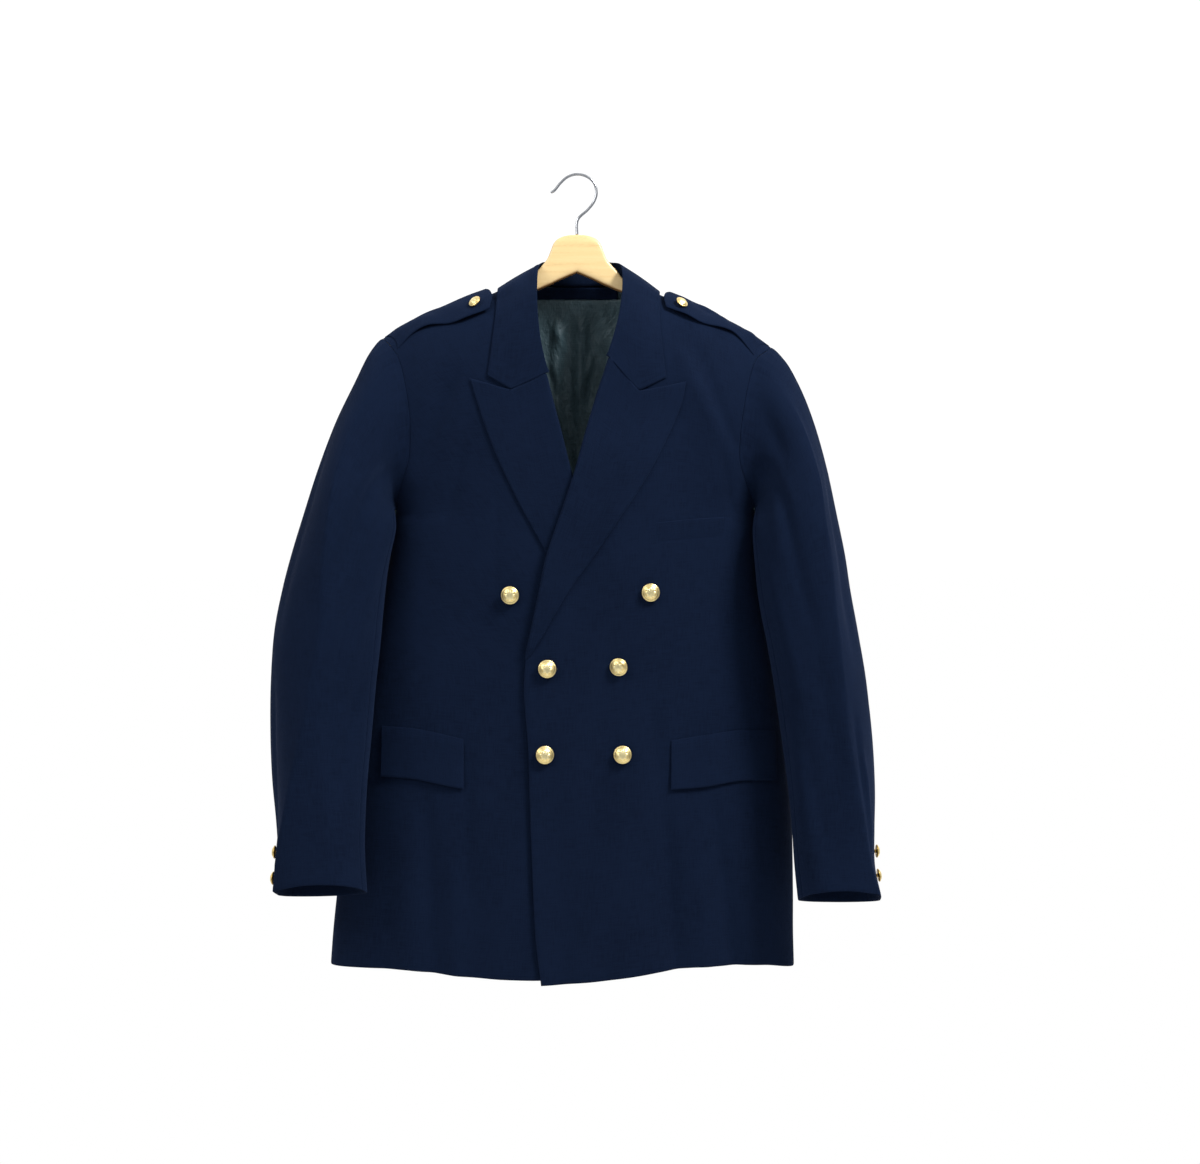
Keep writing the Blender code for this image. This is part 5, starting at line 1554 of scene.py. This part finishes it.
def strap_grid(side):
    """Places on a strap: rows from its free end to the sleeve, columns from front edge to back edge."""
    rows = STRAP[side]
    first = rows["x"][0]
    last = rows["x"][-1]
    t = even(STRAP_ROWS, TIP_X - first)[:, None]
    s = even(STRAP_COLUMNS, STRAP_WIDTH)[None]
    reach = mix(last, TIP_X - STRAP_SEAM, step_up(s, 0, STRAP_SEAM_TURN))
    x = mix(first + read(STRAP_END, "share", "inset", s), reach, t)
    drop = shoulder_z(side * x) - read(rows, "x", "edge", np.minimum(x, last))
    front_angle = -np.degrees(np.arccos(np.clip(1 - drop / FRONT_ROLL, -1, 1)))
    angle = mix(front_angle, STRAP_BACK_ANGLE, s)
    lift = STRAP_LIFT + STRAP_END_LIFT * (1 - t) ** 3
    lift = lift + STRAP_WAVE * (1 - s) ** 2 * (1 - np.cos(2 * np.pi * STRAP_WAVES * t)) * (1 - t ** 4)
    for t0, s0, t1, s1, width, tall in each(STRAP_FOLDS[side]):
        length = math.hypot(t1 - t0, (s1 - s0) / 2)
        along = ((t - t0) * (t1 - t0) + (s - s0) * (s1 - s0) / 4) / length
        across = ((t - t0) * (s1 - s0) / 2 - (s - s0) / 2 * (t1 - t0)) / length
        share = step_up(along, -width, width) * (1 - step_up(along, length - width, length + width))
        lift = lift + tall * share * bell(across, width)
    lift = lift + STRAP_BACK_LIFT * (1 - step_up(t, *STRAP_BACK_RUN)) * step_up(s, *STRAP_BACK_SHARE)
    ending = step_up(t, STRAP_THINS_FROM, 1.0)
    lift = mix(np.maximum(lift, CLOTH + SEAM), 2 * SEAM, ending)
    return side * x, angle, lift, mix(CLOTH, SEAM, ending)


def make_strap(side, wool):
    x, angle, lift, layer = strap_grid(side)
    outer = strap_point(x, angle, lift)
    inner = strap_point(x, angle, lift - layer)
    node = "shoulder_strap_" + side_name(side)
    wall(node, outer, inner, (wool,))


# Buttons

def make_button(node, base, normal, radius, gold):
    """A domed shank button with a beaded rim and a plain rosette."""
    normal = unit(np.asarray(normal, float))
    across = unit(np.cross(normal, (0.0, 0.0, 1.0)))
    up = np.cross(across, normal)
    rows = BUTTON_PROFILE
    lengths = np.concatenate(([0.0], np.cumsum(np.hypot(np.diff(rows["radius"]), np.diff(rows["height"])))))
    at = np.linspace(0, lengths[-1], BUTTON_RINGS + 1)
    share = np.interp(at, lengths, rows["radius"])[:, None]
    height = np.interp(at, lengths, rows["height"])[:, None]
    turn = 2 * np.pi * np.arange(BUTTON_SEGMENTS)[None] / BUTTON_SEGMENTS
    on_top = (at > lengths[RIM_ROW])[:, None]
    bead = bell(share - BEAD_PLACE, BEAD_SPREAD) * (0.5 + 0.5 * np.cos(turn * BEADS)) * on_top
    petal_edge = PETAL_INNER + PETAL_REACH * np.abs(np.cos(turn * PETALS / 2))
    petal = (1 - step_up(share, petal_edge + PETAL_EDGE[0], petal_edge + PETAL_EDGE[1])) * on_top
    vein = bell(np.sin(turn * PETALS / 2), VEIN_SPREAD) * step_up(share, *VEIN_START)
    ring = bell(share - RING_PLACE, RING_SPREAD) * on_top
    eye = (1 - step_up(share, *EYE_EDGE)) * on_top
    relief = petal * (1 - VEIN_DEPTH * vein) + RING_HEIGHT * ring + EYE_HEIGHT * eye
    relief = BEAD_HEIGHT * bead + PETAL_HEIGHT * relief
    tall = (SEAM + (height + relief) * radius)[..., None]
    spoke = across * np.cos(turn)[..., None] + up * np.sin(turn)[..., None]
    points = base + normal * tall + spoke * (share * radius)[..., None]
    piece = tube("metal_" + node, points[1:-1], (gold,), (points[0, 0], points[-1, 0]))
    # Painted shade and light, stored in the relief attribute: recesses and the sides darker, the raised
    # relief and the dome lighter.
    shade = np.clip(relief / PETAL_HEIGHT * RELIEF_PAINTED_SHADE + DOME_PAINTED_LIGHT * on_top, 0, 1)[1:-1].ravel()
    layer = piece.data.attributes.new("relief", "FLOAT", "POINT")
    layer.data.foreach_set("value", np.concatenate((shade, END_PAINTED_SHADES)).astype(np.float32))
    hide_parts(node)


def make_buttons(sleeves, gold):
    for name, x, z, tilt_x, tilt_z in each(FRONT_BUTTONS):
        x, z = np.array(x, float), np.array(z, float)
        out = raised(x, z, name != "button_upper_right")
        normal = torso_normal(x, z, FRONT) + np.array((tilt_x, 0, tilt_z))
        base = skin(x, z, FRONT, out + 0.5 * BUTTON_RADIUS * math.hypot(tilt_x, tilt_z))
        make_button(name, base, normal, BUTTON_RADIUS, gold)
    for side in (RIGHT, LEFT):
        x, share = STRAP_BUTTON[side]
        x = np.array(x, float)
        drop = shoulder_z(x) - read(STRAP[side], "x", "edge", abs(x))
        angle = -np.degrees(np.arccos(1 - drop / FRONT_ROLL)) * (1 - share)
        t = (abs(x) - STRAP[side]["x"][0]) / (TIP_X - STRAP[side]["x"][0])
        lift = STRAP_LIFT + STRAP_END_LIFT * (1 - t) ** 3 + STRAP_WAVE
        base = strap_point(x, angle, lift)
        make_button("strap_button_" + side_name(side), base, base - strap_point(x, angle, 0 * lift),
                    SMALL_BUTTON_RADIUS, gold)
        for part, z in zip(("_upper", "_lower"), CUFF_BUTTON_Z):
            place, normal = sleeve_place(sleeves[side], side, z)
            make_button("cuff_button_" + side_name(side) + part, place, normal, SMALL_BUTTON_RADIUS, gold)


def sleeve_place(rings, side, z):
    """A point and its normal on the sleeve's outer side, near the hindarm seam."""
    column = int(round(CUFF_BUTTON_ANGLE[side] / (360 / SLEEVE_AROUND)))
    j = int(np.argmax(rings[:, column, 2] < z))
    around = rings[j, (column + 1) % SLEEVE_AROUND] - rings[j, column - 1]
    along = rings[min(j + 2, len(rings) - 1), column] - rings[j - 2, column]
    return rings[j, column], unit(np.cross(around, along)) * side


def make_buttonholes(thread):
    """Rows of close stitches round each buttonhole, raised on the cloth."""
    steps = np.linspace(0, 1, BUTTONHOLE_STITCHES * STITCH_STEPS)
    wobble = np.abs(np.sin(np.pi * steps * BUTTONHOLE_STITCHES))
    thick = THREAD_RADIUS * (STITCH_WAVE[0] + STITCH_WAVE[1] * wobble)
    ends = np.minimum(1, np.minimum(steps, 1 - steps) / STITCH_END_SHARE)
    turn = (2 * np.pi * np.arange(THREAD_SIDES) / THREAD_SIDES)[None, :, None]
    quads = band(len(steps), THREAD_SIDES)
    last = (len(steps) - 1) * THREAD_SIDES
    quads += [(5, 4, 3, 2), (5, 2, 1, 0)]
    quads += [(last, last + 1, last + 2, last + 3), (last, last + 3, last + 4, last + 5)]
    for k, (x, z) in enumerate(each(BUTTONHOLES)):
        points = []
        faces = []
        for half in (-1, 1):
            run_x = x + BUTTONHOLE_START + BUTTONHOLE_LENGTH * steps
            run_z = z + half * BUTTONHOLE_WIDTH / 2 * ends ** 0.5
            centre = skin(run_x, run_z, FRONT, raised(run_x, run_z) + thick * THREAD_SUNK)
            normal = torso_normal(run_x, run_z, FRONT)
            beside = unit(np.cross(unit(np.gradient(centre, axis=0)), normal))
            spoke = beside[:, None] * np.cos(turn) * THREAD_FLATNESS + normal[:, None] * np.sin(turn)
            base = len(points)
            points += (centre[:, None] + spoke * thick[:, None, None]).reshape(-1, 3).tolist()
            faces += [tuple(base + corner for corner in face) for face in quads]
        piece = new_piece(f"thread_buttonhole_{k + 1}", points, faces, (thread,))


# Hanger

def make_wood(wood):
    """The wooden hanger: its hump in the middle and an arm inside each shoulder."""
    t = even(ARM_STEPS)
    arm_x = mix(ARM_START_X, ARM_END_X, t)
    tip = step_up(t, 1 - ARM_TIP_STEPS / ARM_STEPS, 1)
    height = mix(ARM_START_HEIGHT, ARM_END_HEIGHT, t)
    half = WOOD_PROFILE["half_thickness"]
    sections = []
    for side in (RIGHT, LEFT):
        ridge = shoulder_z(side * arm_x) - ARM_CLEARANCE
        rows = {
            "x": np.concatenate((WOOD_PROFILE["x"], arm_x)),
            "top": np.concatenate((WOOD_PROFILE["top"], ridge - ARM_TIP_DROP * tip)),
            "bottom": np.concatenate((WOOD_PROFILE["bottom"], ridge - height)),
            "half": np.concatenate((half, half[0] - ARM_TIP_THINNING * tip)),
        }
        x = ARM_END_X * np.arange(WOOD_SECTIONS + 1) / WOOD_SECTIONS
        section = np.stack((side * x, *(read(rows, "x", name, x) for name in ("top", "bottom", "half"))), -1)
        end = np.concatenate((section[-1:],) * len(WOOD_TIP["share"]))
        rounding = np.array(WOOD_TIP["share"])[:, None]
        middle = (end[:, 1:2] + end[:, 2:3]) / 2
        end[:, 1:3] = middle + (end[:, 1:3] - middle) * rounding
        end[:, 3:] = end[:, 3:] * rounding
        end[:, 0] += side * np.array(WOOD_TIP["out"])
        section = np.concatenate((section, end))
        sections.append(section[:0:-1] if side == RIGHT else section)
    sections = np.concatenate(sections)
    turn = 2 * np.pi * (np.arange(WOOD_SEGMENTS) + 0.5) / WOOD_SEGMENTS
    c = np.sign(np.cos(turn)) * np.abs(np.cos(turn)) ** WOOD_SQUARENESS
    s = np.sign(np.sin(turn)) * np.abs(np.sin(turn)) ** WOOD_SQUARENESS
    x, top, bottom, half = (column[:, None] for column in sections.T)
    loops = np.stack((x + 0 * c, half * c, (top + bottom) / 2 + (top - bottom) / 2 * s), -1)
    piece = tube("wood_hanger", loops, (wood,))
    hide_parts("hanger")


def make_hook(chrome):
    """The hanger's wire hook, a round wire with a rounded end."""
    path = np.stack((HOOK_PATH["x"], HOOK_PATH["z"]), -1).astype(float)
    lengths = walk(path)
    rows = {"s": lengths, "x": path[:, 0], "z": path[:, 1]}
    s = lengths[-1] * np.arange(HOOK_STEPS + 1) / HOOK_STEPS
    x = read(rows, "s", "x", s)
    z = read(rows, "s", "z", s)
    z = z + (WIRE_RADIUS - z.max()) * step_up(s, 0, lengths[1])
    centre = np.stack((x, 0 * x, z), -1)
    along = unit(np.gradient(centre, axis=0))
    beside = np.array((0.0, 1.0, 0.0))
    normal = np.cross(along, beside)
    left = lengths[-1] - s
    rounding = 1 - np.minimum(left, WIRE_RADIUS) / WIRE_RADIUS
    thick = WIRE_RADIUS * np.sqrt(np.clip(1 - rounding ** 2, WIRE_END, 1))
    turn = 2 * np.pi * np.arange(WIRE_SEGMENTS) / WIRE_SEGMENTS
    spoke = beside * np.cos(turn)[None, :, None] + normal[:, None] * np.sin(turn)[None, :, None]
    piece = tube("wire_hook", centre[:, None] + spoke * thick[:, None, None], (chrome,))
    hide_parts("hanger_hook")


# Stage

def area_light(name, place, size, power):
    """A square light that faces the middle of the jacket."""
    data = bpy.data.lights.new(name, "AREA")
    data.shape = "RECTANGLE"
    data.size = data.size_y = size
    data.energy = power
    light = link(name, data)
    light.location = place
    x, y, z = (aim - start for aim, start in zip(AIM, place))
    light.rotation_euler = (math.atan2(math.hypot(x, y), -z), 0.0, math.atan2(-x, y))


def make_stage():
    mesh = bpy.data.meshes.new("floor")
    turns = [2 * math.pi * k / FLOOR_SIDES for k in range(FLOOR_SIDES)]
    ring = [(FLOOR_RADIUS * math.cos(turn), FLOOR_RADIUS * math.sin(turn), FLOOR_Z) for turn in turns]
    mesh.from_pydata(ring, [], [tuple(range(FLOOR_SIDES))])
    material, tree, shader = nodes_of("pale_floor")
    cloud = object_noise(tree, (3.0, 3.0, 3.0), 4.0)
    paint(tree, shader, cloud, (0.3, (0.70, 0.70, 0.69)), (0.7, (0.76, 0.76, 0.75)))
    set_inputs(shader, Roughness=0.7)
    mesh.materials.append(material)
    floor = link("floor", mesh)
    world = bpy.data.worlds.new("studio")
    world.use_nodes = True
    tree = world.node_tree
    way = add(tree, "ShaderNodeTexCoord")
    parts = add(tree, "ShaderNodeSeparateXYZ")
    join(tree, way, "Generated", parts, "Vector")
    behind = ramp(tree, parts, "Y", (0.28, FRONT_GLOW), (0.66, WHITE))
    above = maths(tree, "MULTIPLY", (parts, "Z"), TOP_GLOW, clamp=True)
    sky = add(tree, "ShaderNodeMix", data_type="RGBA", blend_type="ADD")
    sky.inputs["Factor"].default_value = 1.0
    join(tree, behind, "Color", sky, "A")
    join(tree, above, 0, sky, "B")
    join(tree, sky, "Result", tree.nodes["Background"], "Color")
    bpy.context.scene.world = world
    for name, (place, size, power) in LIGHTS.items():
        area_light(name, place, size, power)
    bpy.context.scene.view_settings.view_transform = "Standard"


def make_camera():
    data = bpy.data.cameras.new("camera")
    data.sensor_width = SENSOR
    data.lens = SENSOR * -CAMERA_PLACE[1] / PICTURE_WIDTH
    camera = link("camera", data)
    camera.location = CAMERA_PLACE
    camera.rotation_euler = (math.pi / 2, 0.0, 0.0)
    bpy.context.scene.camera = camera


def main():
    wool = wool_material()
    satin = satin_material()
    gold = gold_material()
    make_stage()
    make_camera()
    make_body(wool, satin)
    for side in (RIGHT, LEFT):
        make_lapel(side, wool)
        laid_piece("pocket_flap_" + side_name(side), FLAP[side], flap_out, flap_layer, side == LEFT, wool)
        make_strap(side, wool)
    laid_piece("chest_welt", WELT, welt_out, welt_layer, True, wool)
    make_collar(wool)
    make_inside(wool, satin)
    sleeves = {side: make_sleeve(side, wool, satin) for side in (RIGHT, LEFT)}
    make_buttons(sleeves, gold)
    make_buttonholes(thread_material())
    make_wood(wood_material())
    make_hook(chrome_material())


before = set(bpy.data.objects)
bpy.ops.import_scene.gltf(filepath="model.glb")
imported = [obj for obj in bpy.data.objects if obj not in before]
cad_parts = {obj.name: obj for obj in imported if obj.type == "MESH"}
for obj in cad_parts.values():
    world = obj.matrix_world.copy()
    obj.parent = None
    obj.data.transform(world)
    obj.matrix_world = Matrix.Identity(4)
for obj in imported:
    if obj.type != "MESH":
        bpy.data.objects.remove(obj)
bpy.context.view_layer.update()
main()
